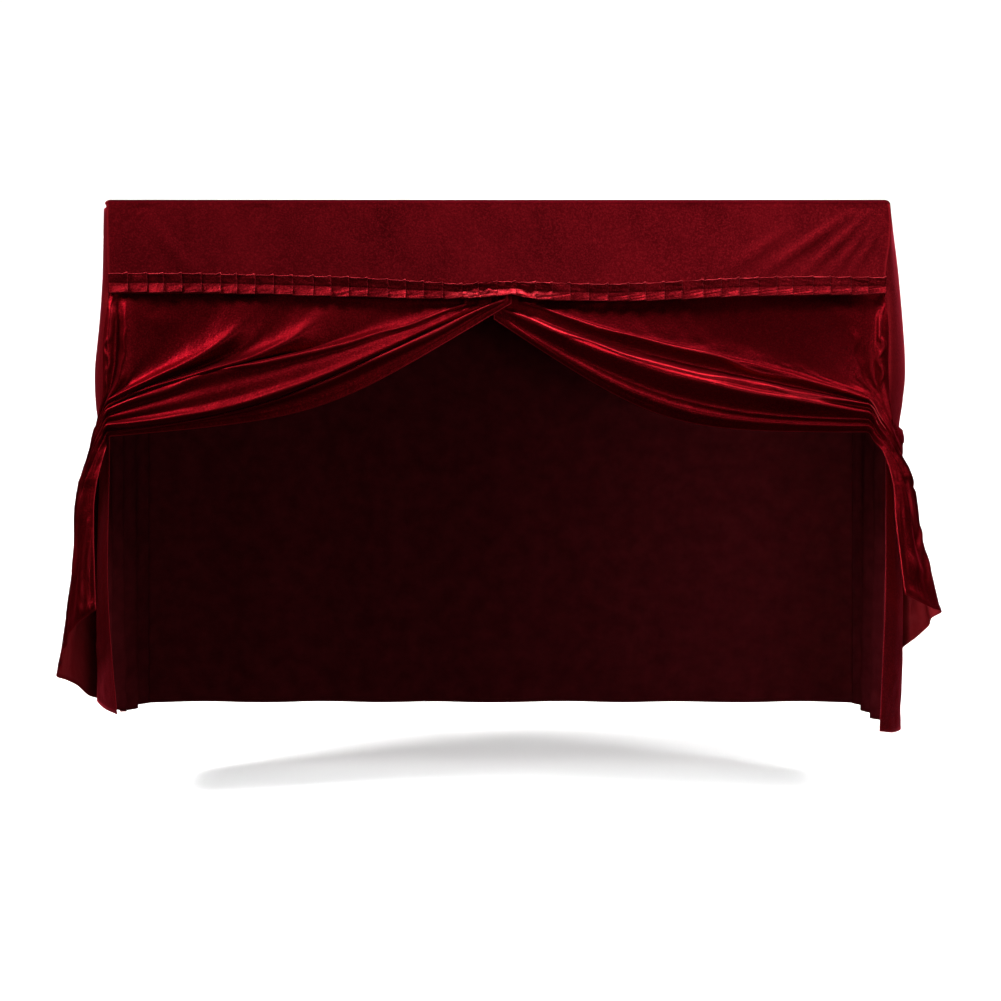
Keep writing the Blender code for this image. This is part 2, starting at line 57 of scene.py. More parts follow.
CASE_CORNER = (0.7665, -0.1905)  # (x, y) of the upright corner that the curtains are drawn round
# Where the first and the last fold of a curtain pass the side of that corner; the others lie between, in order.
TURN = {
    "left": ((0.792, -0.183, -0.440), (0.768, -0.222, -0.508)),
    "right": ((0.780, -0.191, -0.438), (0.752, -0.222, -0.494)),
}
FULL = (0.34, 0.52)  # how fully a fold hangs, as its two tangents' share of the straight way: outermost, innermost
PLEATS = 42
TRIM_BACK_Y = -0.1900

# ---------------------------------------------------------------- fold tables
# A curtain's folds, outermost first. Each fold leaves the trim at (top_x, top_z), heading `leaves` degrees
# below level, and comes to the corner at (tuck_x, tuck_z) heading `arrives` degrees below level. It stands
# `swag` mm forward on the way and `knot` mm at the corner, then falls outside the case to its point on the
# hem. x is measured towards the curtain's own side.
FOLD = ("name", "top_x", "top_z", "leaves", "arrives", "tuck_x", "tuck_z", "swag", "knot", "fall_x", "fall_y", "fall_z", "hem_x", "hem_y", "hem_z")
LEFT = (
    ("wrap", 0.766, -0.180, 75, 90, 0.779, -0.378, 4, 1, 0.808, 0.105, -0.545, 0.812, 0.150, -1.050),
    ("outer", 0.760, -0.180, 80, 85, 0.774, -0.381, 13, 6, 0.815, 0.090, -0.555, 0.818, 0.130, -1.047),
    ("outer_dip", 0.752, -0.180, 85, 70, 0.769, -0.384, 1, 1, 0.810, 0.070, -0.560, 0.812, 0.105, -1.044),
    ("slack_1", 0.735, -0.181, 90, 50, 0.765, -0.387, 14, 9, 0.828, 0.045, -0.570, 0.824, 0.075, -1.040),
    ("slack_2", 0.660, -0.183, 90, 40, 0.764, -0.390, 3, 6, 0.812, 0.015, -0.585, 0.820, 0.040, -1.035),
    ("slack_3", 0.580, -0.185, 95, 33, 0.764, -0.393, 8, 12, 0.832, -0.015, -0.600, 0.828, 0.000, -1.030),
    ("b_crest", 0.495, -0.187, 90, 29, 0.764, -0.396, 23, 20, 0.826, -0.040, -0.615, 0.822, -0.040, -1.020),
    ("b_valley", 0.410, -0.187, 72, 28, 0.764, -0.400, 6, 9, 0.814, -0.065, -0.635, 0.838, -0.080, -1.005),
    ("c_crest", 0.320, -0.197, 56, 27, 0.764, -0.405, 23, 22, 0.838, -0.090, -0.655, 0.857, -0.100, -0.980),
    ("c_valley", 0.195, -0.205, 38, 26, 0.764, -0.410, 5, 10, 0.820, -0.112, -0.680, 0.874, -0.120, -0.965),
    ("a_crest", 0.070, -0.205, 25, 25, 0.764, -0.415, 24, 26, 0.848, -0.132, -0.700, 0.886, -0.146, -0.952),
    ("a_dip", 0.062, -0.206, 25, 18, 0.764, -0.423, 21, 20, 0.826, -0.150, -0.700, 0.872, -0.164, -0.925),
    ("t_crest", 0.052, -0.206, 25, 12, 0.764, -0.430, 26, 25, 0.842, -0.165, -0.698, 0.868, -0.182, -0.900),
    ("t_dip", 0.043, -0.206, 25, 8, 0.764, -0.437, 31, 20, 0.826, -0.180, -0.695, 0.852, -0.196, -0.880),
    ("roll", 0.034, -0.205, 25, 4, 0.764, -0.444, 36, 30, 0.838, -0.195, -0.690, 0.846, -0.212, -0.860),
    ("d_valley", 0.014, -0.206, 23, 3, 0.764, -0.451, 12, 15, 0.818, -0.214, -0.682, 0.832, -0.232, -0.845),
    ("d_crest", -0.014, -0.195, 25, 6, 0.764, -0.458, 25, 24, 0.816, -0.232, -0.675, 0.818, -0.248, -0.830),
    ("e_dip", -0.021, -0.199, 28, 8, 0.764, -0.463, 13, 13, 0.800, -0.243, -0.667, 0.798, -0.260, -0.815),
    ("edge", -0.028, -0.205, 31, 5, 0.764, -0.468, 8, 10, 0.784, -0.252, -0.660, 0.776, -0.268, -0.800),
)
RIGHT = (
    ("wrap", 0.766, -0.180, 75, 85, 0.775, -0.366, 4, 1, 0.826, 0.085, -0.545, 0.818, 0.145, -0.975),
    ("outer", 0.760, -0.188, 85, 75, 0.764, -0.370, 13, 7, 0.826, 0.068, -0.552, 0.826, 0.120, -0.968),
    ("outer_dip", 0.746, -0.188, 85, 70, 0.753, -0.374, 1, 2, 0.816, 0.048, -0.560, 0.818, 0.098, -0.962),
    ("slack_1", 0.700, -0.189, 95, 45, 0.742, -0.377, 9, 8, 0.830, 0.025, -0.570, 0.832, 0.070, -0.952),
    ("slack_2", 0.600, -0.191, 90, 30, 0.736, -0.380, 5, 8, 0.816, 0.000, -0.580, 0.824, 0.030, -0.940),
    ("slack_3", 0.480, -0.193, 70, 25, 0.732, -0.383, 7, 11, 0.832, -0.028, -0.590, 0.836, -0.010, -0.928),
    ("b_crest", 0.285, -0.196, 35, 23, 0.731, -0.386, 11, 13, 0.828, -0.052, -0.605, 0.832, -0.045, -0.916),
    ("b_valley", 0.070, -0.200, 22, 21, 0.731, -0.390, 17, 14, 0.818, -0.078, -0.620, 0.832, -0.077, -0.904),
    ("s_crest", 0.039, -0.201, 21, 20, 0.731, -0.394, 20, 23, 0.838, -0.102, -0.630, 0.846, -0.105, -0.884),
    ("s_valley", 0.024, -0.212, 24, 13, 0.731, -0.401, 9, 15, 0.822, -0.126, -0.640, 0.856, -0.130, -0.866),
    ("m_crest", 0.018, -0.216, 24, 10, 0.731, -0.404, 25, 29, 0.842, -0.150, -0.650, 0.864, -0.150, -0.850),
    ("m_dip", 0.014, -0.217, 24, 9, 0.731, -0.411, 30, 23, 0.824, -0.172, -0.650, 0.863, -0.175, -0.832),
    ("roll", 0.010, -0.219, 24, 9, 0.731, -0.419, 35, 28, 0.838, -0.195, -0.645, 0.876, -0.205, -0.814),
    ("d_valley", 0.002, -0.226, 30, 1, 0.731, -0.433, 12, 16, 0.812, -0.216, -0.640, 0.852, -0.232, -0.802),
    ("e_crest", -0.002, -0.231, 31, 1, 0.731, -0.446, 22, 22, 0.806, -0.240, -0.630, 0.828, -0.252, -0.790),
    ("edge", -0.007, -0.236, 33, 0, 0.731, -0.458, 6, 9, 0.776, -0.250, -0.625, 0.790, -0.268, -0.770),
)
# A side panel's folds from the front seam to the back seam: where the fold is front to back at the top
# and at the hem, and how far it stands outside the case at seven heights.
SIDE = ("name", "top_y", "hem_y", "at_top", "at_trim", "at_swag", "at_bag", "at_tuck", "at_low", "at_hem", "hem_z")
SIDE_HEIGHTS = (-0.014, -0.190, -0.340, -0.405, -0.460, -0.750, -1.030)
SIDE_LEFT = (
    ("front_seam", -0.1858, -0.250, 0.0080, 0.0050, 0.0050, 0.0045, 0.0040, 0.0000, -0.0300, -1.006),
    ("front_roll", -0.1680, -0.212, 0.0130, 0.0200, 0.0270, 0.0240, 0.0190, 0.0200, 0.0040, -1.003),
    ("bulge", -0.1320, -0.163, 0.0270, 0.0310, 0.0460, 0.0430, 0.0360, 0.0380, 0.0320, -0.998),
    ("valley_1", -0.0900, -0.110, 0.0180, 0.0220, 0.0350, 0.0340, 0.0320, 0.0220, 0.0150, -1.028),
    ("crest_1", -0.0450, -0.055, 0.0140, 0.0230, 0.0360, 0.0350, 0.0340, 0.0360, 0.0380, -1.037),
    ("valley_2", 0.0000, 0.000, 0.0140, 0.0190, 0.0240, 0.0240, 0.0240, 0.0200, 0.0140, -1.055),
    ("crest_2", 0.0500, 0.050, 0.0140, 0.0200, 0.0290, 0.0295, 0.0300, 0.0350, 0.0380, -1.066),
    ("valley_3", 0.1000, 0.102, 0.0140, 0.0180, 0.0220, 0.0220, 0.0220, 0.0180, 0.0140, -1.071),
    ("crest_3", 0.1450, 0.150, 0.0140, 0.0160, 0.0200, 0.0210, 0.0220, 0.0260, 0.0300, -1.075),
    ("back_seam", 0.1862, 0.1862, 0.0120, 0.0105, 0.0100, 0.0100, 0.0100, 0.0100, 0.0095, -1.078),
)
SIDE_RIGHT = (
    ("front_seam", -0.1858, -0.212, 0.0125, 0.0050, 0.0060, 0.0060, 0.0060, 0.0020, -0.0120, -1.048),
    ("front_roll", -0.1680, -0.186, 0.0170, 0.0270, 0.0320, 0.0265, 0.0210, 0.0290, 0.0200, -1.056),
    ("bulge", -0.1320, -0.140, 0.0250, 0.0460, 0.0560, 0.0500, 0.0420, 0.0460, 0.0440, -1.058),
    ("valley_1", -0.0900, -0.092, 0.0200, 0.0300, 0.0400, 0.0400, 0.0390, 0.0240, 0.0160, -1.062),
    ("crest_1", -0.0450, -0.044, 0.0180, 0.0290, 0.0390, 0.0400, 0.0400, 0.0400, 0.0420, -1.066),
    ("valley_2", 0.0000, 0.004, 0.0140, 0.0230, 0.0270, 0.0255, 0.0240, 0.0190, 0.0130, -1.070),
    ("crest_2", 0.0500, 0.056, 0.0140, 0.0230, 0.0300, 0.0300, 0.0300, 0.0340, 0.0360, -1.074),
    ("valley_3", 0.1000, 0.106, 0.0140, 0.0180, 0.0220, 0.0220, 0.0220, 0.0170, 0.0130, -1.076),
    ("crest_3", 0.1450, 0.152, 0.0140, 0.0170, 0.0220, 0.0220, 0.0220, 0.0250, 0.0280, -1.077),
    ("back_seam", 0.1862, 0.1862, 0.0120, 0.0105, 0.0100, 0.0100, 0.0100, 0.0100, 0.0095, -1.078),
)
# Soft folds of the back panel: where each is at the top and at the hem, and how far it stands out there.
BACK = ("top_x", "hem_x", "out_top", "out_hem")
BACK_FOLDS = (
    (-0.774, -0.774, 0.000, 0.000), (-0.640, -0.655, 0.001, 0.014), (-0.520, -0.525, 0.000, 0.003),
    (-0.400, -0.385, 0.001, 0.015), (-0.270, -0.265, 0.000, 0.004), (-0.140, -0.150, 0.001, 0.012),
    (0.000, -0.010, 0.000, 0.002), (0.130, 0.140, 0.001, 0.015), (0.260, 0.270, 0.000, 0.004),
    (0.390, 0.380, 0.001, 0.013), (0.520, 0.530, 0.000, 0.003), (0.650, 0.660, 0.001, 0.014),
    (0.774, 0.774, 0.000, 0.000),
)
# Creases pulled across a flat piece: from one end to the other, how wide and how high, in metres.
CREASE = ("x1", "z1", "x2", "z2", "wide", "high")
VALANCE_CREASES = (
    (0.571, -0.062, 0.464, -0.137, 0.013, 0.0035),
    (0.700, -0.028, 0.533, -0.141, 0.012, 0.0050),
    (0.740, -0.024, 0.615, -0.141, 0.011, 0.0050),
    (0.752, -0.036, 0.668, -0.141, 0.010, 0.0045),
    (0.762, -0.050, 0.706, -0.141, 0.010, 0.0040),
    (-0.700, -0.030, -0.610, -0.140, 0.016, 0.0025),
    (-0.420, -0.040, -0.250, -0.120, 0.030, 0.0012),
    (0.050, -0.060, 0.230, -0.130, 0.030, 0.0012),
)
TOP_CREASES = (
    (-0.60, -0.12, -0.35, 0.10, 0.030, 0.0016),
    (-0.10, -0.10, 0.14, 0.09, 0.034, 0.0014),
    (0.42, -0.11, 0.62, 0.11, 0.030, 0.0016),
)
# How far out the front's two side edges are, going down: the seams bow a little.
EDGE = ("z", "left_x", "right_x")
VALANCE_EDGES = (
    (0.000, 0.7740, 0.7785), (-0.045, 0.7745, 0.7825), (-0.090, 0.7740, 0.7790),
    (-0.125, 0.7735, 0.7735), (-0.150, 0.7720, 0.7710), (-0.190, 0.7700, 0.7700),
)
# The trim's upper and lower edge along the front.
TRIM = ("x", "upper_z", "lower_z")
TRIM_EDGES = (
    (-0.7700, -0.1450, -0.1838), (-0.600, -0.1455, -0.1832), (-0.450, -0.1488, -0.1868),
    (-0.300, -0.1524, -0.1912), (-0.160, -0.1608, -0.1962), (-0.070, -0.1670, -0.1940),
    (0.000, -0.1620, -0.1912), (0.025, -0.1620, -0.1870), (0.050, -0.1630, -0.1920), (0.080, -0.1630, -0.1975), (0.210, -0.1673, -0.2010),
    (0.320, -0.1635, -0.1985), (0.470, -0.1550, -0.1905), (0.600, -0.1515, -0.1890),
    (0.7710, -0.1536, -0.1860),
)


# ---------------------------------------------------------------- curves
def columns(table, names):
    return {name: np.array([row[i] for row in table], dtype=object if name == "name" else float) for i, name in enumerate(names)}


def ease(x):
    x = np.clip(x, 0.0, 1.0)
    return x * x * (3.0 - 2.0 * x)


def through(rows, steps):
    """A smooth curve through the rows of an array, with this many steps between each pair."""
    rows = np.asarray(rows, float)
    ends = np.concatenate([[2 * rows[0] - rows[1]], rows, [2 * rows[-1] - rows[-2]]])
    gap = np.sqrt(np.linalg.norm(np.diff(ends, axis=0).reshape(len(rows) + 1, -1), axis=1)) + 1e-4  # close rows pull less
    out = []
    t = (np.arange(steps) / steps).reshape((-1,) + (1,) * (rows.ndim - 1))
    for i in range(len(rows) - 1):
        a, b, c, d = ends[i], ends[i + 1], ends[i + 2], ends[i + 3]
        p, q, r = gap[i], gap[i + 1], gap[i + 2]
        leave = q * ((b - a) / p - (c - a) / (p + q) + (c - b) / q)
        arrive = q * ((c - b) / q - (d - b) / (q + r) + (d - c) / r)
        out.append(b + leave * t + (3 * (c - b) - 2 * leave - arrive) * t**2 + (2 * (b - c) + leave + arrive) * t**3)
    return np.concatenate(out + [rows[-1:]])


def bezier(p0, p1, p2, p3, t):
    t = t[:, None]
    return (1 - t) ** 3 * p0 + 3 * (1 - t) ** 2 * t * p1 + 3 * (1 - t) * t * t * p2 + t**3 * p3


def creased(x, z, table):
    """How far a set of creases raises each point."""
    total = np.zeros(np.shape(x))
    for row in table:
        c = dict(zip(CREASE, row))
        run = np.array([c["x2"] - c["x1"], c["z2"] - c["z1"]])
        long = np.hypot(*run)
        run = run / long
        along = (x - c["x1"]) * run[0] + (z - c["z1"]) * run[1]
        across = -(x - c["x1"]) * run[1] + (z - c["z1"]) * run[0]
        share = np.clip(along / long, 0, 1)
        off = np.hypot(across, np.minimum(along, 0) + np.maximum(along - long, 0))
        total += c["high"] * (0.4 + 0.6 * np.sin(np.pi * share)) * np.exp(-((off / c["wide"]) ** 2))
    return total


# ---------------------------------------------------------------- surfaces
def top_grid(nx, ny):
    x, y = np.meshgrid(np.linspace(-TOP_HALF_X, TOP_HALF_X, nx), np.linspace(-TOP_HALF_Y, TOP_HALF_Y, ny), indexing="ij")
    edge = ease((TOP_HALF_X - abs(x)) / 0.03) * ease((TOP_HALF_Y - abs(y)) / 0.03)
    return np.stack([x, y, TOP_Z + creased(x, y, TOP_CREASES) * edge], axis=-1)


def down_the_edge(deep, radius, steps):
    """(how far out, how far down) along a strip that lies on the top's edge, turns over it and hangs."""
    turn = [(radius * np.sin(a), radius * (1 - np.cos(a))) for a in np.linspace(0.12, np.pi / 2, 3)]
    hang = [(radius, radius + (deep - radius) * s) for s in np.linspace(0, 1, steps + 1)[1:]]
    return np.array(turn + hang)


def valance_grid(nx, steps):
    edges = columns(VALANCE_EDGES, EDGE)
    half = np.linspace(-1, 1, nx)
    rows = down_the_edge(-VALANCE_Z + TOP_Z, CORNER_Y, steps)
    grid = np.empty((nx, len(rows), 3))
    for j, (out, down) in enumerate(rows):
        turned = np.sqrt(1 - (1 - min(down / CORNER_X, 1)) ** 2)
        z = TOP_Z - down
        least = TOP_HALF_X - 0.0007
        right = least + (np.interp(-z, -edges["z"], edges["right_x"]) - least) * turned
        left = least + (np.interp(-z, -edges["z"], edges["left_x"]) - least) * turned
        x = (right - left) / 2 + half * (right + left) / 2
        pull = creased(x, np.full(nx, z), VALANCE_CREASES) * ease((down - CORNER_Y) / 0.02)
        grid[:, j, 0] = x
        grid[:, j, 1] = -TOP_HALF_Y - 0.0008 - out - pull
        grid[:, j, 2] = z
    return grid


def back_grid(between, steps):
    c = columns(BACK_FOLDS, BACK)
    rows = down_the_edge(1.078, CORNER_Y, steps)
    lines = []
    for out, down in rows:
        share = ease(max(down - 0.02, 0) / 1.06)
        turned = np.sqrt(1 - (1 - min(down / CORNER_X, 1)) ** 2)
        x = c["top_x"] + (c["hem_x"] - c["top_x"]) * share
        x = x * (TOP_HALF_X + 0.0005 + 0.0085 * turned - 0.0010 * share) / c["hem_x"].max()
        y = TOP_HALF_Y + 0.0008 + out + c["out_top"] * min(down / 0.03, 1) + (c["out_hem"] - c["out_top"]) * share
        lines.append(through(np.stack([x, y, np.full(len(x), TOP_Z - down)], axis=-1), between))
    return np.array(lines)[:, ::-1].transpose(1, 0, 2)


def side_stations(table, steps):
    """Each fold of a side panel as a line of points from the top's edge to the hem, x towards that side."""
    c = columns(table, SIDE)
    out_at = np.stack([c[k] for k in ("at_top", "at_trim", "at_swag", "at_bag", "at_tuck", "at_low", "at_hem")], axis=-1)
    heights = np.array(SIDE_HEIGHTS)
    lines = []
    for i in range(len(table)):
        turn = []
        for a in (0.14, 0.75, 1.30):
            turn.append((TOP_HALF_X + 0.0008 + CORNER_X * np.sin(a), c["top_y"][i] * (1 - 0.036 * np.cos(a)), TOP_Z - CORNER_X * (1 - np.cos(a))))
        down = -0.014 + (c["hem_z"][i] + 0.014) * np.linspace(0, 1, steps + 1)
        guide = through(np.stack([heights, out_at[i]], axis=-1), 12)
        out = np.interp(-down, -guide[:, 0], guide[:, 1])
        share = ease((-down - 0.46) / 0.60)
        y = c["top_y"][i] + (c["hem_y"][i] - c["top_y"][i]) * share
        if i == 0:  # below the trim the curtain covers this edge, which lies a little behind it
            y = y + 0.0035 * ease((-down - 0.150) / 0.030) * (1 - share)
        hang = np.stack([SIDE_X + out, y, down], axis=-1)
        lines.append(np.concatenate([turn, hang]))
    return np.array(lines)


def side_grid(table, side, between, steps):
    lines = side_stations(table, steps)
    grid = np.stack([through(lines[:, j], between) for j in range(lines.shape[1])], axis=1)
    return grid * ((-1, 1, 1) if side == "left" else (1, 1, 1))


def outside_of(table):
    """How far out a side panel is, for any (y, z): the curtain hangs outside it."""
    lines = through(side_stations(table, 24), 4)

    def out(y, z):
        best = np.zeros(np.shape(y))
        for j in range(lines.shape[1]):
            near = np.exp(-(((lines[0, j, 2] - z) / 0.035) ** 2))
            wide = np.max([np.interp(lines[:, j, 1] + d, lines[:, j, 1], lines[:, j, 0]) for d in (-0.012, 0, 0.012)], axis=0)
            ys = np.concatenate([[lines[0, j, 1] - 0.012, lines[0, j, 1] - 0.004], lines[:, j, 1]])
            xs = np.concatenate([[wide[0] - 0.030, wide[0]], wide])
            here = np.interp(y, ys, xs, left=0.0, right=lines[-1, j, 0])
            best = np.maximum(best, np.where(near > 0.3, here, 0))
        return best

    return out


def curtain_strands(table, side, hang_steps, turn_steps, fall_steps):
    """Each fold of a curtain as a line of points from behind the trim to the hem, x towards that side."""
    c = columns(table, FOLD)
    first, last = np.array(TURN[side])
    lines = []
    for i in range(len(table)):
        v = {k: c[k][i] for k in FOLD}
        swag, knot = v["swag"] / 1000, v["knot"] / 1000
        top = np.array([v["top_x"], CURTAIN_TOP_Y[side], CURTAIN_TOP_Z])
        start = np.array([v["top_x"], CURTAIN_TOP_Y[side] + 0.0005 - 0.02 * swag, v["top_z"]])
        tuck = np.array([v["tuck_x"], FRONT_Y - 0.006 - knot, v["tuck_z"]])
        order = i / (len(table) - 1)
        handle = (FULL[0] + (FULL[1] - FULL[0]) * order**4) * np.hypot(tuck[0] - start[0], tuck[2] - start[2])
        leaves, arrives = np.radians(v["leaves"]), np.radians(v["arrives"])
        g1 = np.array([start[0] + handle * np.cos(leaves), FRONT_Y - 0.003 - 1.15 * swag, start[2] - handle * np.sin(leaves)])
        g2 = np.array([tuck[0] - handle * np.cos(arrives), FRONT_Y - 0.006 - 1.15 * swag, tuck[2] + handle * np.sin(arrives)])
        hang = bezier(start, g1, g2, tuck, ease_in(np.linspace(0, 1, hang_steps + 1)))
        before = bezier(start, g1, g2, tuck, np.array([0.88]))[0]

        turn = first + (last - first) * np.array([order**2.2, order, order]) + knot * np.array([0.40, -0.35, 0.0])
        shoulder = (tuck + turn) / 2
        corner = np.array([*CASE_CORNER, shoulder[2]])
        reach = np.linalg.norm(shoulder - corner)
        shoulder = corner + (shoulder - corner) * max(1.04, (0.0100 + 0.5 * knot) / reach)
        fall = np.array([v["fall_x"], v["fall_y"], v["fall_z"]])
        hem = np.array([v["hem_x"], v["hem_y"], v["hem_z"]])
        bend = turn * 0.45 + fall * 0.55 + np.array([0.002 + 0.45 * knot, 0, 0.012])
        guide = through(np.array([before, tuck, shoulder, turn, bend, fall, (fall + hem) / 2, hem]), 16)
        lines.append(np.concatenate([top[None], hang, even(guide[16:49], turn_steps)[1:], even(guide[48:], fall_steps, 1.4)[1:]]))
    return np.array(lines)


def ease_in(t):
    return t * (0.55 + 0.45 * t) / 1.0


def even(line, steps, closer=1.0):
    """The same line, in equal steps, or in steps that start closer."""
    run = np.concatenate([[0], np.cumsum(np.linalg.norm(np.diff(line, axis=0), axis=1))])
    at = run[-1] * np.linspace(0, 1, steps + 1) ** closer
    return np.stack([np.interp(at, run, line[:, k]) for k in range(3)], axis=-1)


def curtain_grid(table, side_table, side, between, hang_steps, turn_steps, fall_steps, gap=0.0050, first=0.4, clear=None):
    lines = curtain_strands(table, side, hang_steps, turn_steps, fall_steps)
    grid = np.stack([through(lines[:, j], between) for j in range(lines.shape[1])], axis=1)
    out = outside_of(side_table)
    fall = grid[:, hang_steps + 1 :]
    # The curtain's own top edge lies close on the side panel; its next folds stand further off it.
    off = (first + (1 - first) * ease(np.arange(len(grid)) / (3 * between))[:, None]) * (CLEAR_AT_TUCK[side] if clear is None else clear)
    least = out(fall[..., 1], fall[..., 2]) + gap + off * np.exp(-(((fall[..., 2] + 0.445) / 0.07) ** 2))
    over = fall[..., 0] - least
    fall[..., 0] = np.where(least > 0.1, least + 0.5 * (over + np.sqrt(over**2 + 0.004**2)), fall[..., 0])
    return grid * ((-1, 1, 1) if side == "left" else (1, 1, 1))


def trim_grid(rows=(0.0, 0.52, 1.0)):
    """Pressed pleats, all laid the same way, held by a line of stitches along the middle."""
    c = columns(TRIM_EDGES, TRIM)
    wide = (TRIM_EDGES[-1][0] - TRIM_EDGES[0][0]) / PLEATS
    x, up = [], []
    for i in range(PLEATS):
        start = TRIM_EDGES[0][0] + wide * (i + (0.09 * np.sin(0.37 * i * i) if i else 0))
        deep = 0.0050 * (1 + 0.18 * np.sin(0.53 * i * i + 1))
        for share, high in ((0.0, 0.0), (0.93, 1.0)):
            x.append(start + share * wide)
            up.append(high * deep)
    x.append(TRIM_EDGES[-1][0])
    up.append(0.0)
    x, up = np.array(x), np.array(up)
    grid = np.empty((len(x), len(rows), 3))
    for j, share in enumerate(rows):
        upper, lower = np.interp(x, c["x"], c["upper_z"]), np.interp(x, c["x"], c["lower_z"])
        stand = 0.35 + (0.55 * (1 - share / 0.52) if share < 0.52 else 0.95 * (share - 0.52) / 0.48)
        grid[:, j, 0] = x
        grid[:, j, 1] = TRIM_BACK_Y - 0.0004 - stand * up - (0.0035 * max(share - 0.52, 0) / 0.48) - creased(x, grid[:, j, 0] * 0 + upper + (lower - upper) * share, VALANCE_CREASES)
        grid[:, j, 2] = upper + (lower - upper) * share + 0.0012 * np.sin(x * 61) * share
    return grid



# ---------------------------------------------------------------- unevenness of real cloth
def lattice(seed, nx, ny):
    return np.random.default_rng(seed).standard_normal((nx, ny))


def soft_noise(u, v, seed):
    """Smooth random heights, about -1 to 1, one bump to each unit of u and v."""
    table = lattice(seed, 64, 64)
    iu, iv = np.floor(u).astype(int), np.floor(v).astype(int)
    fu, fv = ease(u - iu), ease(v - iv)
    pick = lambda a, b: table[(iu + a) % 64, (iv + b) % 64]
    return (pick(0, 0) * (1 - fu) + pick(1, 0) * fu) * (1 - fv) + (pick(0, 1) * (1 - fu) + pick(1, 1) * fu) * fv


def normals_of(grid):
    found = np.cross(np.gradient(grid, axis=0), np.gradient(grid, axis=1))
    return found / np.maximum(np.linalg.norm(found, axis=-1, keepdims=True), 1e-12)


def soft_normals(grid, rounds=10):
    """Normals averaged over a few points, so that pushing a tight fold along them can't turn it inside out."""
    n = normals_of(grid)
    for _ in range(rounds):
        n[1:-1] = (n[:-2] + 2 * n[1:-1] + n[2:]) / 4
        n[:, 1:-1] = (n[:, :-2] + 2 * n[:, 1:-1] + n[:, 2:]) / 4
    return n / np.maximum(np.linalg.norm(n, axis=-1, keepdims=True), 0.6)


def lengths_of(grid):
    """How far each point is along the cloth both ways, in metres: the cloth's own weave coordinates."""
    along = np.zeros(grid.shape[:2])
    along[1:] = np.cumsum(np.linalg.norm(np.diff(grid, axis=0), axis=-1), axis=0)
    down = np.zeros(grid.shape[:2])
    down[:, 1:] = np.cumsum(np.linalg.norm(np.diff(grid, axis=1), axis=-1), axis=1)
    return along, down


# ---------------------------------------------------------------- materials
class Nodes:
    def __init__(self, name):
        self.material = bpy.data.materials.new(name)
        self.material.use_nodes = True
        self.tree = self.material.node_tree
        self.shader = self.tree.nodes["Principled BSDF"]

    def add(self, kind, **inputs):
        node = self.tree.nodes.new(kind)
        for key, value in inputs.items():
            if hasattr(node, key):
                setattr(node, key, value)
        return node

    def link(self, out, into):
        self.tree.links.new(out, into)

    def noise(self, vector, scale, detail=2.0, rough=0.5, stretch=(1, 1, 1)):
        place = self.add("ShaderNodeMapping")
        place.inputs["Scale"].default_value = stretch
        self.link(vector, place.inputs["Vector"])
        node = self.add("ShaderNodeTexNoise")
        node.inputs["Scale"].default_value = scale
        node.inputs["Detail"].default_value = detail
        node.inputs["Roughness"].default_value = rough
        self.link(place.outputs["Vector"], node.inputs["Vector"])
        return node.outputs["Fac"]

    def ramp(self, fac, low, high, a=0.0, b=1.0):
        node = self.add("ShaderNodeMapRange")
        node.inputs["From Min"].default_value = low
        node.inputs["From Max"].default_value = high
        node.inputs["To Min"].default_value = a
        node.inputs["To Max"].default_value = b
        self.link(fac, node.inputs["Value"])
        return node.outputs["Result"]

    def mix(self, fac, a, b):
        node = self.add("ShaderNodeMix")
        node.data_type = "RGBA"
        self.link(fac, node.inputs["Factor"])
        for socket, value in ((node.inputs[6], a), (node.inputs[7], b)):
            if isinstance(value, tuple):
                socket.default_value = (*value, 1.0)
            else:
                self.link(value, socket)
        return node.outputs[2]

    def math(self, what, a, b):
        node = self.add("ShaderNodeMath")
        node.operation = what
        for socket, value in ((node.inputs[0], a), (node.inputs[1], b)):
            if isinstance(value, (int, float)):
                socket.default_value = value
            else:
                self.link(value, socket)
        return node.outputs[0]


def pile_bump(n, height, strength, distance):
    bump = n.add("ShaderNodeBump")
    bump.inputs["Strength"].default_value = strength
    bump.inputs["Distance"].default_value = distance
    n.link(height, bump.inputs["Height"])
    n.link(bump.outputs["Normal"], n.shader.inputs["Normal"])


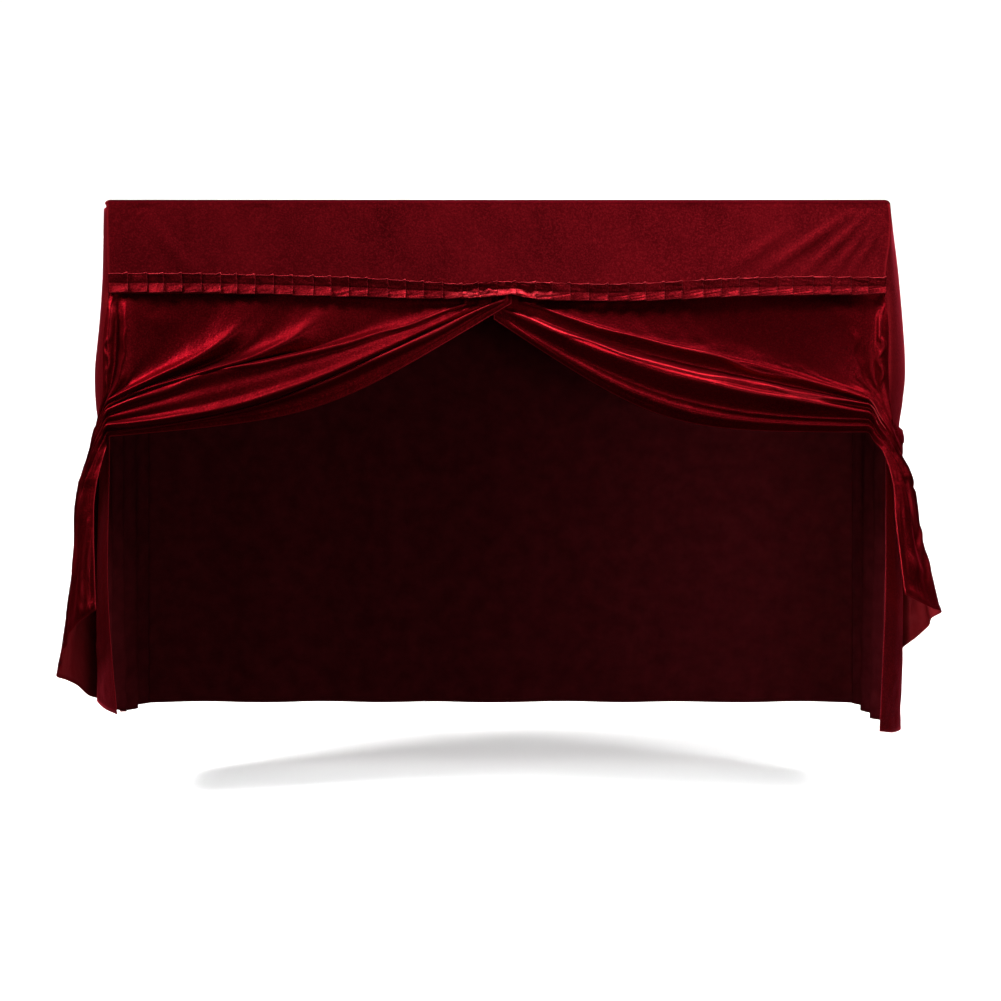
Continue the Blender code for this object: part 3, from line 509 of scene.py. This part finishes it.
def velvet(name, dark, mid, light, painted_highlight, rough=0.50, metal=0.72, sheen=0.5, tint=(0.80, 0.02, 0.05), crushed=0.0012, stretch=0.6):
    """Short pile laid one way: dark seen straight on, brighter where it turns to the light, crushed unevenly. The
    'edge' attribute mixes in a painted highlight colour and the 'turned' attribute paints shade towards near black.
    """
    n = Nodes(name)
    cloth = n.add("ShaderNodeUVMap")
    cloth.uv_map = "cloth"
    uv = cloth.outputs["UV"]
    place = n.add("ShaderNodeTexCoord").outputs["Object"]
    edge = n.add("ShaderNodeAttribute")
    edge.attribute_name = "edge"
    turned = n.add("ShaderNodeAttribute")
    turned.attribute_name = "turned"
    patches = n.ramp(n.noise(uv, 6.5, 3.0, 0.55, (1.0, 0.55, 1.0)), 0.33, 0.68)
    nap_and_shade = n.ramp(n.noise(place, 62.0, 4.0, 0.62, (1.0, 1.0, stretch)), 0.30, 0.72)
    grain = n.ramp(n.noise(place, 300.0, 2.0, 0.65), 0.28, 0.74)
    base = n.mix(patches, dark, mid)
    base = n.mix(n.math("MULTIPLY", nap_and_shade, 0.50), base, mid)
    base = n.mix(n.math("MULTIPLY", n.math("MULTIPLY", grain, grain), 0.55), base, light)
    # Painted highlight: the 'edge' attribute mixes the base towards the highlight colour.
    base = n.mix(edge.outputs["Fac"], base, painted_highlight)
    # Painted shade: the 'turned' attribute mixes the base towards near black.
    base = n.mix(turned.outputs["Fac"], base, (0.020, 0.0004, 0.0010))
    n.link(base, n.shader.inputs["Base Color"])
    n.shader.inputs["Roughness"].default_value = rough
    n.shader.inputs["Metallic"].default_value = metal
    n.shader.inputs["Specular IOR Level"].default_value = 0.0
    n.shader.inputs["Specular Tint"].default_value = (0.75, 0.05, 0.08, 1.0)
    n.shader.inputs["Sheen Weight"].default_value = sheen
    n.shader.inputs["Sheen Roughness"].default_value = 0.35
    n.shader.inputs["Sheen Tint"].default_value = (*tint, 1.0)
    height = n.math("ADD", n.math("MULTIPLY", nap_and_shade, 0.55), n.math("MULTIPLY", grain, 0.30))
    pile_bump(n, height, 0.6, crushed)
    return n.material


def backing(name, dark, light, thread):
    """The reverse of the velvet: a plain matt knit, duller and pinker."""
    n = Nodes(name)
    cloth = n.add("ShaderNodeUVMap")
    cloth.uv_map = "cloth"
    uv = cloth.outputs["UV"]
    knit = n.add("ShaderNodeTexWave")
    knit.inputs["Scale"].default_value = 260.0
    knit.inputs["Distortion"].default_value = 1.5
    n.link(uv, knit.inputs["Vector"])
    wear_and_highlight = n.ramp(n.noise(uv, 26.0, 3.0, 0.6), 0.3, 0.7)
    base = n.mix(wear_and_highlight, dark, light)
    base = n.mix(n.math("MULTIPLY", knit.outputs["Fac"], 0.25), base, thread)
    n.link(base, n.shader.inputs["Base Color"])
    n.shader.inputs["Roughness"].default_value = 0.95
    n.shader.inputs["Specular IOR Level"].default_value = 0.0
    pile_bump(n, knit.outputs["Fac"], 0.3, 0.0005)
    return n.material


# One velvet with a base colour set per piece as painted light: darker on the curtains as painted shade, brighter on
# the side panels as painted light.
SHADED_VELVET = velvet("velvet_pile", (0.055, 0.0008, 0.0022), (0.140, 0.0022, 0.0050), (0.360, 0.0085, 0.0150), (0.60, 0.020, 0.032), rough=0.44, metal=1.0, sheen=0.35)
FRONT_PILE = velvet("front_pile", (0.070, 0.0016, 0.0036), (0.172, 0.0040, 0.0078), (0.430, 0.0130, 0.0210), (0.60, 0.020, 0.032), rough=0.58, metal=0.75, sheen=0.25, crushed=0.0013, stretch=0.45)
LIT_SIDE_PILE = velvet("side_pile", (0.120, 0.0030, 0.0060), (0.280, 0.0080, 0.0130), (0.520, 0.0180, 0.0280), (0.65, 0.030, 0.045), rough=0.45, metal=0.9, sheen=1.0, tint=(0.85, 0.05, 0.09))
TRIM_PILE = velvet("trim_pile", (0.050, 0.0008, 0.0020), (0.180, 0.0034, 0.0070), (0.560, 0.0210, 0.0320), (0.72, 0.045, 0.062), rough=0.48, metal=0.85, sheen=0.2, crushed=0.0020, stretch=0.8)
# The reverse likewise: darker for the pieces seen inside the cover, as painted shade, and brighter on the curtains,
# as painted light.
SHADED_REVERSE = backing("velvet_reverse", (0.060, 0.004, 0.006), (0.100, 0.008, 0.011), (0.040, 0.003, 0.004))
LIT_CURTAIN_REVERSE = backing("curtain_reverse", (0.330, 0.014, 0.020), (0.460, 0.028, 0.036), (0.220, 0.010, 0.014))


# ---------------------------------------------------------------- pieces
def piece(name, grid, node, pile, outward, wall=WALL, edge=None, reverse=SHADED_REVERSE, turned=None):
    """A sheet of cloth with its pile on the side that faces outward and its backing on the other."""
    edge = np.zeros(grid.shape[:2]) if edge is None else edge
    turned = np.zeros(grid.shape[:2]) if turned is None else turned
    if (normals_of(grid)[:, : grid.shape[1] // 2].mean(axis=(0, 1)) * outward).sum() < 0:
        grid, edge, turned = grid[::-1], edge[::-1], turned[::-1]
    nu, nv = grid.shape[:2]
    along, down = lengths_of(grid)
    mesh = bpy.data.meshes.new(name)
    at = np.arange(nu * nv).reshape(nu, nv)
    quads = np.stack([at[:-1, :-1], at[1:, :-1], at[1:, 1:], at[:-1, 1:]], axis=-1).reshape(-1, 4)
    mesh.from_pydata(grid.reshape(-1, 3).tolist(), [], quads.tolist())
    layer = mesh.uv_layers.new(name="cloth")
    corner = np.empty(len(mesh.loops), np.int64)
    mesh.loops.foreach_get("vertex_index", corner)
    flat = np.stack([np.median(along, axis=1)[:, None] + np.zeros((1, nv)), down], axis=-1).reshape(-1, 2)
    layer.data.foreach_set("uv", flat[corner].astype(np.float32).ravel())
    # 'edge' carries painted highlights; 'turned' carries painted shade and, on the trim, each pleat's own random
    # tone.
    for label, values in (("edge", edge), ("turned", turned)):
        mark = mesh.attributes.new(label, "FLOAT", "POINT")
        mark.data.foreach_set("value", np.clip(values, 0, 1).astype(np.float32).ravel())
    mesh.materials.append(pile)
    mesh.materials.append(reverse)
    mesh.shade_smooth()
    made = bpy.data.objects.new(name, mesh)
    bpy.context.scene.collection.objects.link(made)
    thick = made.modifiers.new("thickness", "SOLIDIFY")
    thick.thickness = wall
    thick.offset = 0.0
    thick.use_rim = True
    thick.material_offset = 1
    thick.material_offset_rim = 0
    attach(made, "root")
    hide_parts(node)
    return made


def area_of(grid):
    a = grid[1:, :-1] - grid[:-1, :-1]
    b = grid[:-1, 1:] - grid[:-1, :-1]
    return float(np.linalg.norm(np.cross(a, b), axis=-1).sum())


def ruffled(grid, high, seed, across=18.0, down=7.0, keep=None):
    """The sheet with soft random unevenness, longer down the cloth than across it."""
    along, fall = lengths_of(grid)
    rise = soft_noise(along * across, fall * down, seed) + 0.5 * soft_noise(along * across * 2.3, fall * down * 2.1, seed + 1)
    if keep is not None:
        rise = rise * keep
    return grid + soft_normals(grid) * (rise * high)[..., None]


def margin(shape, at_u=4, at_v=4):
    """0 on the edges of a grid, 1 inside, so that seams stay where they are."""
    u = np.minimum(np.arange(shape[0]), np.arange(shape[0])[::-1])[:, None] / at_u
    v = np.minimum(np.arange(shape[1]), np.arange(shape[1])[::-1])[None, :] / at_v
    return ease(u) * ease(v)


def from_edges(grid):
    """How far each point is from the sheet's four edges: first and last along it, first and last down it."""
    along, down = lengths_of(grid)
    return along, along[-1:] - along, down, down[:, -1:] - down


def hemmed(grid, sides, deep=0.014, thick=0.0007):
    """A turned and stitched hem along some edges, and a painted highlight along the very edge."""
    edges = from_edges(grid)
    raised, mark = np.zeros(grid.shape[:2]), np.zeros(grid.shape[:2])
    for side in sides:
        d = edges[side]
        stitch = 0.75 + 0.25 * np.cos(edges[(side + 2) % 4] * 2 * np.pi / 0.004)
        raised += thick * ease((deep - d) / 0.002) - 1.1 * thick * stitch * np.exp(-(((d - deep) / 0.0016) ** 2))
        # Painted highlight along the very edge.
        mark = np.maximum(mark, 0.75 * ease((0.0028 - d) / 0.0020))
    return grid + normals_of(grid) * raised[..., None], mark


top = top_grid(150, 40)
top = ruffled(top, 0.0003, 3, 12, 12, margin(top.shape))
piece_top = piece("top_panel_cloth", top, "top_panel", FRONT_PILE, (0, 0, 1))

valance = valance_grid(520, 70)
valance = ruffled(valance, 0.0006, 5, 16, 10, margin(valance.shape, 6, 6))
from_left, from_right = from_edges(valance)[:2]
# Painted highlight along the two side seams.
seam = np.exp(-(((np.minimum(from_left, from_right) - 0.0022) / 0.0020) ** 2))
valance[..., 1] -= 0.0010 * seam
# Painted shade over the top edge, where the cloth turns down, and on the left part of the front, fading out towards
# the middle.
over = 0.85 * ease((valance[..., 2] + 0.0085) / 0.0035)
piece_valance = piece("valance_cloth", valance, "valance_front", FRONT_PILE, (0, -1, 0), edge=0.40 * seam * (1 - over), turned=np.maximum(over, 0.30 * ease((0.25 - valance[..., 0]) / 0.95)))

back = back_grid(16, 90)
# The back's two seams are drawn in to the sides all the way down.
near_seam = np.exp(-((np.minimum(from_edges(back)[0], from_edges(back)[1]) / 0.014) ** 2))
back[..., 1] -= 0.0013 * near_seam * ease((-back[..., 2] - 0.45) / 0.5)
back = ruffled(back, 0.0012, 7, 7, 3, margin(back.shape, 6, 8))
back, mark = hemmed(back, (3,))
piece_back = piece("back_cloth", back, "back_panel", FRONT_PILE, (0, 1, 0), edge=mark)

for side, table, seed in (("left", SIDE_LEFT, 11), ("right", SIDE_RIGHT, 13)):
    grid = side_grid(table, side, 12, 110)
    grid = ruffled(grid, 0.0010, seed, 14, 4, margin(grid.shape, 6, 8))
    grid = ruffled(grid, 0.0016, seed + 2, 30, 20, margin(grid.shape, 5, 5) * ease((-grid[..., 2] - 0.78) / 0.22))
    grid, mark = hemmed(grid, (3,))
    piece(f"side_{side}_cloth", grid, f"side_{side}", LIT_SIDE_PILE, (-1 if side == "left" else 1, 0, 0), edge=mark)

# Knife pleats of the trim: how far along the pleat and how far out, from its root to the fold and back under it.
PLEAT = ((0.00, 0.10), (0.10, 0.20), (0.30, 0.42), (0.55, 0.68), (0.78, 0.88), (0.92, 0.99), (0.975, 1.00), (1.005, 0.88), (1.010, 0.68), (0.990, 0.46), (0.960, 0.26), (0.945, 0.14))


def pleated_strip(steps):
    """The trim's strip folded pleat by pleat, held by the stitches along its middle and flaring above and below."""
    c = columns(TRIM_EDGES, TRIM)
    wide = (TRIM_EDGES[-1][0] - TRIM_EDGES[0][0]) / PLEATS
    rng = np.random.default_rng(23)
    starts = TRIM_EDGES[0][0] + wide * (np.arange(PLEATS + 1) + np.concatenate([[0], 0.09 * np.sin(0.37 * np.arange(1, PLEATS) ** 2), [0]]))
    x, up, across, which = [], [], [], []
    for i in range(PLEATS):
        deep = 0.0050 * (1 + 0.18 * np.sin(0.53 * i * i + 1))
        for share, high in PLEAT[: 7 if i == PLEATS - 1 else len(PLEAT)]:
            x.append(starts[i] + share * (starts[i + 1] - starts[i]))
            up.append(high * deep)
            across.append(share)
            which.append(i)
    x, up, across, which = map(np.array, (x, up, across, which))
    lean = rng.uniform(0.3, 1.7, (PLEATS, 2))[which]
    drop = rng.uniform(-1, 1, PLEATS)[which]
    share = np.linspace(0, 1, steps + 1)
    upper, lower = np.interp(x, c["x"], c["upper_z"]), np.interp(x, c["x"], c["lower_z"])
    above, below = np.clip(1 - share / 0.5, 0, 1), np.clip((share - 0.5) / 0.5, 0, 1)
    stand = 0.42 + 0.38 * ease(above) + 0.80 * ease(below)
    bunch = np.exp(-(((x - 0.022) / 0.040) ** 2))
    wave = soft_noise(x * 45, x * 0 + 3, 41) + 0.6 * soft_noise(x * 110, x * 0 + 5, 43)
    out = np.outer(up, stand) + 0.0018 * np.outer(lean[:, 0], above**1.3) + 0.0018 * np.outer(lean[:, 1], below**1.3) + 0.0034 * np.outer(bunch, below)
    out += 0.0007 * np.outer(wave, 0.3 + above + below) - 0.0005 * np.exp(-(((share - 0.48) / 0.035) ** 2))
    out += 0.0008 * np.outer(np.ones(len(x)), np.exp(-((share / 0.05) ** 2)))
    z = upper[:, None] + np.outer(lower - upper, share)
    loop = np.exp(-(((across - 0.97) / 0.10) ** 2))
    z += 0.0024 * np.outer(loop, np.clip(1 - share / 0.14, 0, 1) ** 1.5)
    z += 0.0010 * np.outer(drop + 1.2 * (across - 0.5), below**2) + 0.0005 * np.sin(np.outer(x, np.ones(steps + 1)) * 410) * np.outer(np.ones(len(x)), above**3)
    grid = np.stack([x[:, None] + np.zeros((1, steps + 1)), TRIM_BACK_Y - 0.0004 - out, z], axis=-1)
    grid[..., 1] -= creased(grid[..., 0], grid[..., 2], VALANCE_CREASES)
    fold = np.exp(-(((across - 0.985) / 0.035) ** 2))
    # Painted highlights along the top edge, the bottom edge and each pleat's fold.
    mark = 0.55 * np.exp(-((share / 0.045) ** 2))[None] * (0.75 + 0.25 * wave[:, None]) + 0.25 * np.exp(-(((1 - share) / 0.05) ** 2))[None] + 0.16 * fold[:, None] * (0.8 + 0.2 * above)[None]
    # Each pleat's own random tone, plus painted shade in the gaps between pleats and along the stitched middle.
    nap_and_shade = rng.uniform(0.0, 0.42, PLEATS)[which]
    gap = np.exp(-(((across - 0.02) / 0.055) ** 2)) + np.exp(-(((across - 0.965) / 0.022) ** 2)) * (across < 0.98)
    under = nap_and_shade[:, None] * (0.4 + 0.6 * ease(2.5 * below))[None] + 0.60 * np.outer(gap, 0.4 + 0.6 * np.clip(above + below, 0, 1)) + 0.45 * np.exp(-(((share - 0.48) / 0.05) ** 2))[None]
    return grid, mark, np.clip(under, 0, 0.85)


trim, mark, under = pleated_strip(26)
trim = ruffled(trim, 0.00045, 31, 90, 110, margin(trim.shape, 2, 1) * 0.7 + 0.3)
crumple = np.exp(-(((trim[..., 0] - 0.010) / 0.095) ** 4)) * margin(trim.shape, 2, 2)
trim[..., 1] -= (0.0026 * soft_noise(trim[..., 0] * 130, trim[..., 2] * 150, 61) + 0.0012 * soft_noise(trim[..., 0] * 340, trim[..., 2] * 360, 62)) * crumple
trim[..., 2] += 0.0018 * crumple * soft_noise(trim[..., 0] * 95, trim[..., 2] * 60, 67)
low = np.linspace(0, 1, trim.shape[1])[None, :]
# Painted highlight on the crumpled cloth near the middle.
mark = np.maximum(mark, 0.55 * crumple * ease((low - 0.45) / 0.2) * np.clip(0.5 + 0.6 * soft_noise(trim[..., 0] * 260, trim[..., 2] * 240, 71), 0, 1))
piece_trim = piece("pleated_trim_cloth", trim, "pleated_trim", TRIM_PILE, (0, -1, 0), TRIM_WALL, edge=mark, turned=under * (1 - 0.7 * crumple))

# Creases of the curtains' lower parts, pushed out (or in, where high is negative), x towards that side.
LEFT_CREASES = (
    (0.811, -0.530, 0.826, -0.650, 0.0070, 0.0060),
    (0.826, -0.650, 0.834, -0.745, 0.0070, 0.0060),
    (0.797, -0.630, 0.805, -0.735, 0.0045, 0.0050),
    (0.805, -0.735, 0.802, -0.800, 0.0045, 0.0050),
    (0.787, -0.650, 0.794, -0.755, 0.0040, 0.0045),
    (0.794, -0.755, 0.787, -0.810, 0.0040, 0.0045),
    (0.800, -0.640, 0.800, -0.760, 0.0035, -0.0030),
    (0.812, -0.785, 0.798, -0.816, 0.0045, 0.0050),
    (0.780, -0.786, 0.798, -0.816, 0.0045, 0.0050),
    (0.840, -0.840, 0.832, -0.930, 0.0050, 0.0045),
    (0.858, -0.860, 0.846, -0.925, 0.0060, -0.0040),
    (0.806, -0.880, 0.838, -0.905, 0.0045, 0.0040),
)
RIGHT_CREASES = (
    (0.806, -0.500, 0.812, -0.560, 0.0060, 0.0045),
    (0.812, -0.560, 0.824, -0.660, 0.0055, 0.0045),
    (0.796, -0.560, 0.806, -0.640, 0.0045, -0.0035),
    (0.838, -0.650, 0.826, -0.700, 0.0060, 0.0050),
    (0.848, -0.700, 0.850, -0.770, 0.0060, 0.0045),
    (0.806, -0.690, 0.834, -0.735, 0.0050, 0.0040),
    (0.800, -0.760, 0.842, -0.790, 0.0045, 0.0040),
    (0.822, -0.740, 0.832, -0.790, 0.0045, -0.0035),
)

# Ridges drawn tight along a fold: the fold, how wide and how high it stands there, the stretch of the hang it covers,
# how soon it rises and how strong the painted highlight along it is.
PULL = ("name", "wide", "high", "start", "end", "fade", "wear_and_highlight")
LEFT_PULLS = (
    ("b_crest", 0.0110, 0.0050, 0.15, 1.00, 0.30, 0.05), ("c_crest", 0.0160, 0.0060, 0.00, 0.85, 0.30, 0.05), ("slack_2", 0.0200, 0.0025, 0.10, 0.80, 0.30, 0.00),
    ("a_crest", 0.0045, 0.0035, -0.05, 1.00, 0.10, 0.30), ("roll", 0.0080, 0.0035, 0.30, 1.00, 0.30, 0.20), ("d_crest", 0.0055, 0.0050, -0.05, 0.60, 0.08, 0.55),
    ("outer", 0.0060, 0.0035, 0.10, 0.95, 0.30, 0.10), ("slack_1", 0.0070, 0.0025, 0.05, 0.90, 0.30, 0.00),
)
RIGHT_PULLS = (
    ("s_crest", 0.0055, 0.0040, -0.05, 1.00, 0.10, 0.30), ("m_crest", 0.0060, 0.0035, -0.05, 1.00, 0.10, 0.30), ("roll", 0.0080, 0.0030, 0.50, 1.00, 0.30, 0.15),
    ("outer", 0.0050, 0.0040, 0.10, 0.95, 0.30, 0.10), ("slack_1", 0.0080, 0.0025, 0.35, 0.95, 0.30, 0.00),
)


def pulled(grid, table, pulls, between, hang_steps):
    """The sheet with narrow ridges along some of its folds."""
    along = lengths_of(grid)[0]
    share = np.clip((np.arange(grid.shape[1]) - 1) / hang_steps, 0, 2)
    names = [row[0] for row in table]
    rise, wear_and_highlight = np.zeros(grid.shape[:2]), np.zeros(grid.shape[:2])
    for row in pulls:
        p = dict(zip(PULL, row))
        off = along - along[names.index(p["name"]) * between] + 0.004 * soft_noise(share * 9 + 7 * names.index(p["name"]), share * 0, 47)[None, :]
        here = ease((share - p["start"]) / p["fade"]) * (1 - ease((share - p["end"]) / 0.10))
        uneven = 1 + 0.25 * soft_noise(share * 6 + 5 * names.index(p["name"]), share * 0 + 2, 53)
        shape = np.exp(-((off / (p["wide"] * uneven)) ** 2))
        rise += p["high"] * here * uneven * shape
        # Painted highlight along each ridge.
        wear_and_highlight = np.maximum(wear_and_highlight, p["wear_and_highlight"] * here * uneven * shape**2)
    return grid + np.array([0.0, -1.0, 0.25]) * (rise * margin(grid.shape, 3, 3))[..., None], wear_and_highlight


for side, table, side_table, folds, seed in (("left", LEFT, SIDE_LEFT, LEFT_CREASES, 17), ("right", RIGHT, SIDE_RIGHT, RIGHT_CREASES, 19)):
    grid = curtain_grid(table, side_table, side, 12, 90, 24, 66, gap=0.0038, first=0.2, clear=0.0045)
    grid, wear_and_highlight = pulled(grid, table, LEFT_PULLS if side == "left" else RIGHT_PULLS, 12, 90)
    # Painted shade on the slack cloth above the swag, stronger on the right.
    strand = (np.arange(grid.shape[0]) / 12)[:, None]
    flat = ease((strand - 2.0) / 1.5) * (1 - ease((strand - (6.2 if side == "left" else 7.3)) / 0.8)) * (1 - ease((np.arange(grid.shape[1]) - 60) / 30))[None, :]
    nap_and_shade = flat * (0.26 if side == "left" else 0.58)
    front = soft_normals(grid)
    front = front * np.sign((front[:, :40].mean(axis=(0, 1)) * (0, -1, 0)).sum())
    low = ease((-grid[..., 2] - 0.50) / 0.10) * (grid[..., 1] < 0)
    faces_front = ease((-front[..., 1] - 0.20) / 0.35)
    rise = creased(abs(grid[..., 0]), grid[..., 2], folds) * low * faces_front * margin(grid.shape, 3, 3)
    grid = grid + front * rise[..., None]
    grid = ruffled(grid, 0.0006, seed, 18, 5, margin(grid.shape, 8, 10))
    fall = ease((np.arange(grid.shape[1]) - 112) / 40)[None, :]
    grid = ruffled(grid, 0.0022, seed + 4, 13, 6, margin(grid.shape, 3, 6) * fall)
    grid, mark = hemmed(grid, (1, 3))
    # Painted highlights: the hem's edge, the ridges along the folds and the tops of the creases.
    mark = np.maximum(np.maximum(mark, wear_and_highlight), 0.42 * np.clip(rise / 0.0045, 0, 1) ** 2)
    piece(f"curtain_{side}_cloth", grid, f"curtain_{side}", SHADED_VELVET, (0, -1, 0), edge=mark, reverse=LIT_CURTAIN_REVERSE, turned=nap_and_shade)
    print("curtain", side, "area", area_of(grid))

print("areas", area_of(valance), area_of(back), area_of(trim), area_of(top))

# ---------------------------------------------------------------- stage, light, camera
scene = bpy.context.scene
scene.view_settings.view_transform = "Standard"
scene.view_settings.look = "None"

paper = Nodes("paper")
paper.shader.inputs["Base Color"].default_value = (0.93, 0.93, 0.93, 1)
paper.shader.inputs["Roughness"].default_value = 1.0
paper.shader.inputs["Specular IOR Level"].default_value = 0.0


def stage_sheet():
    """A floor that sweeps up into a wall well behind, so that no horizon shows."""
    floor_z, wall_y, bend = -1.241, 4.0, 1.5
    line = [(-9.0, floor_z), (wall_y - bend, floor_z)]
    line += [(wall_y - bend + bend * math.sin(a), floor_z + bend * (1 - math.cos(a))) for a in np.linspace(0, math.pi / 2, 17)[1:]]
    line += [(wall_y, 7.0)]
    points = [(x, y, z) for x in (-9.0, 9.0) for y, z in line]
    k = len(line)
    mesh = bpy.data.meshes.new("floor")
    mesh.from_pydata(points, [], [(i, i + k, i + k + 1, i + 1) for i in range(k - 1)])
    mesh.shade_smooth()
    mesh.materials.append(paper.material)
    made = bpy.data.objects.new("floor", mesh)
    scene.collection.objects.link(made)


stage = bpy.data.objects["floor"] if stage_sheet() is None else None
# The sweep lights nothing: it is only seen, and has its own light, so it stays pale however the cloth is lit.
stage.visible_diffuse = False
stage.visible_glossy = False

world = bpy.data.worlds.new("studio")
scene.world = world
world.use_nodes = True
world.node_tree.nodes["Background"].inputs["Color"].default_value = (1.0, 1.0, 1.0, 1)
world.node_tree.nodes["Background"].inputs["Strength"].default_value = 0.06


def lamp(name, place, aim, size, watts):
    data = bpy.data.lights.new(name, "AREA")
    data.shape = "RECTANGLE"
    data.size, data.size_y = size
    data.energy = watts
    made = bpy.data.objects.new(name, data)
    scene.collection.objects.link(made)
    made.location = place
    made.rotation_euler = (Vector(aim) - Vector(place)).to_track_quat("-Z", "Y").to_euler()
    return made


lamp("key", (0.4, -1.05, 2.65), (0.05, 0.0, -0.3), (1.6, 0.5), 128)
lamp("fill", (1.6, -3.2, -0.8), (0.2, 0.0, -0.8), (1.2, 0.8), 16)
lamp("back", (0.3, 3.4, 1.6), (0.0, 0.2, -0.5), (1.8, 0.7), 60)
lamp("rim_left", (-2.3, -0.8, 1.2), (-0.8, -0.1, -0.1), (0.5, 0.9), 58)
lamp("rim_right", (2.3, -0.8, 1.4), (0.8, -0.1, -0.1), (0.5, 0.9), 34)
lamp("low_left", (0.5, -3.0, -0.5), (-0.82, -0.2, -0.75), (0.5, 0.5), 0.12).data.spread = 0.6
lamp("low_right", (-0.4, -3.0, -0.6), (0.85, -0.15, -0.80), (0.5, 0.5), 1.0).data.spread = 0.6
only_stage = bpy.data.collections.new("only_stage")
scene.collection.children.link(only_stage)
only_stage.objects.link(stage)
stage_sun = bpy.data.lights.new("stage_light", "SUN")
stage_sun.energy = 2.4
stage_sun.angle = 1.2
stage_lamp = bpy.data.objects.new("stage_light", stage_sun)
scene.collection.objects.link(stage_lamp)
stage_lamp.rotation_euler = (0.75, 0.0, 0.0)
stage_lamp.light_linking.receiver_collection = only_stage

camera = bpy.data.objects.new("camera", bpy.data.cameras.new("camera"))
scene.collection.objects.link(camera)
camera.location = (0.067, -3.545, -0.274)
camera.rotation_euler = (math.pi / 2, 0, 0)
camera.data.lens = 60.89
camera.data.sensor_width = 36.0
camera.data.shift_x = -0.0305
camera.data.shift_y = -0.162
camera.data.clip_end = 60
scene.camera = camera
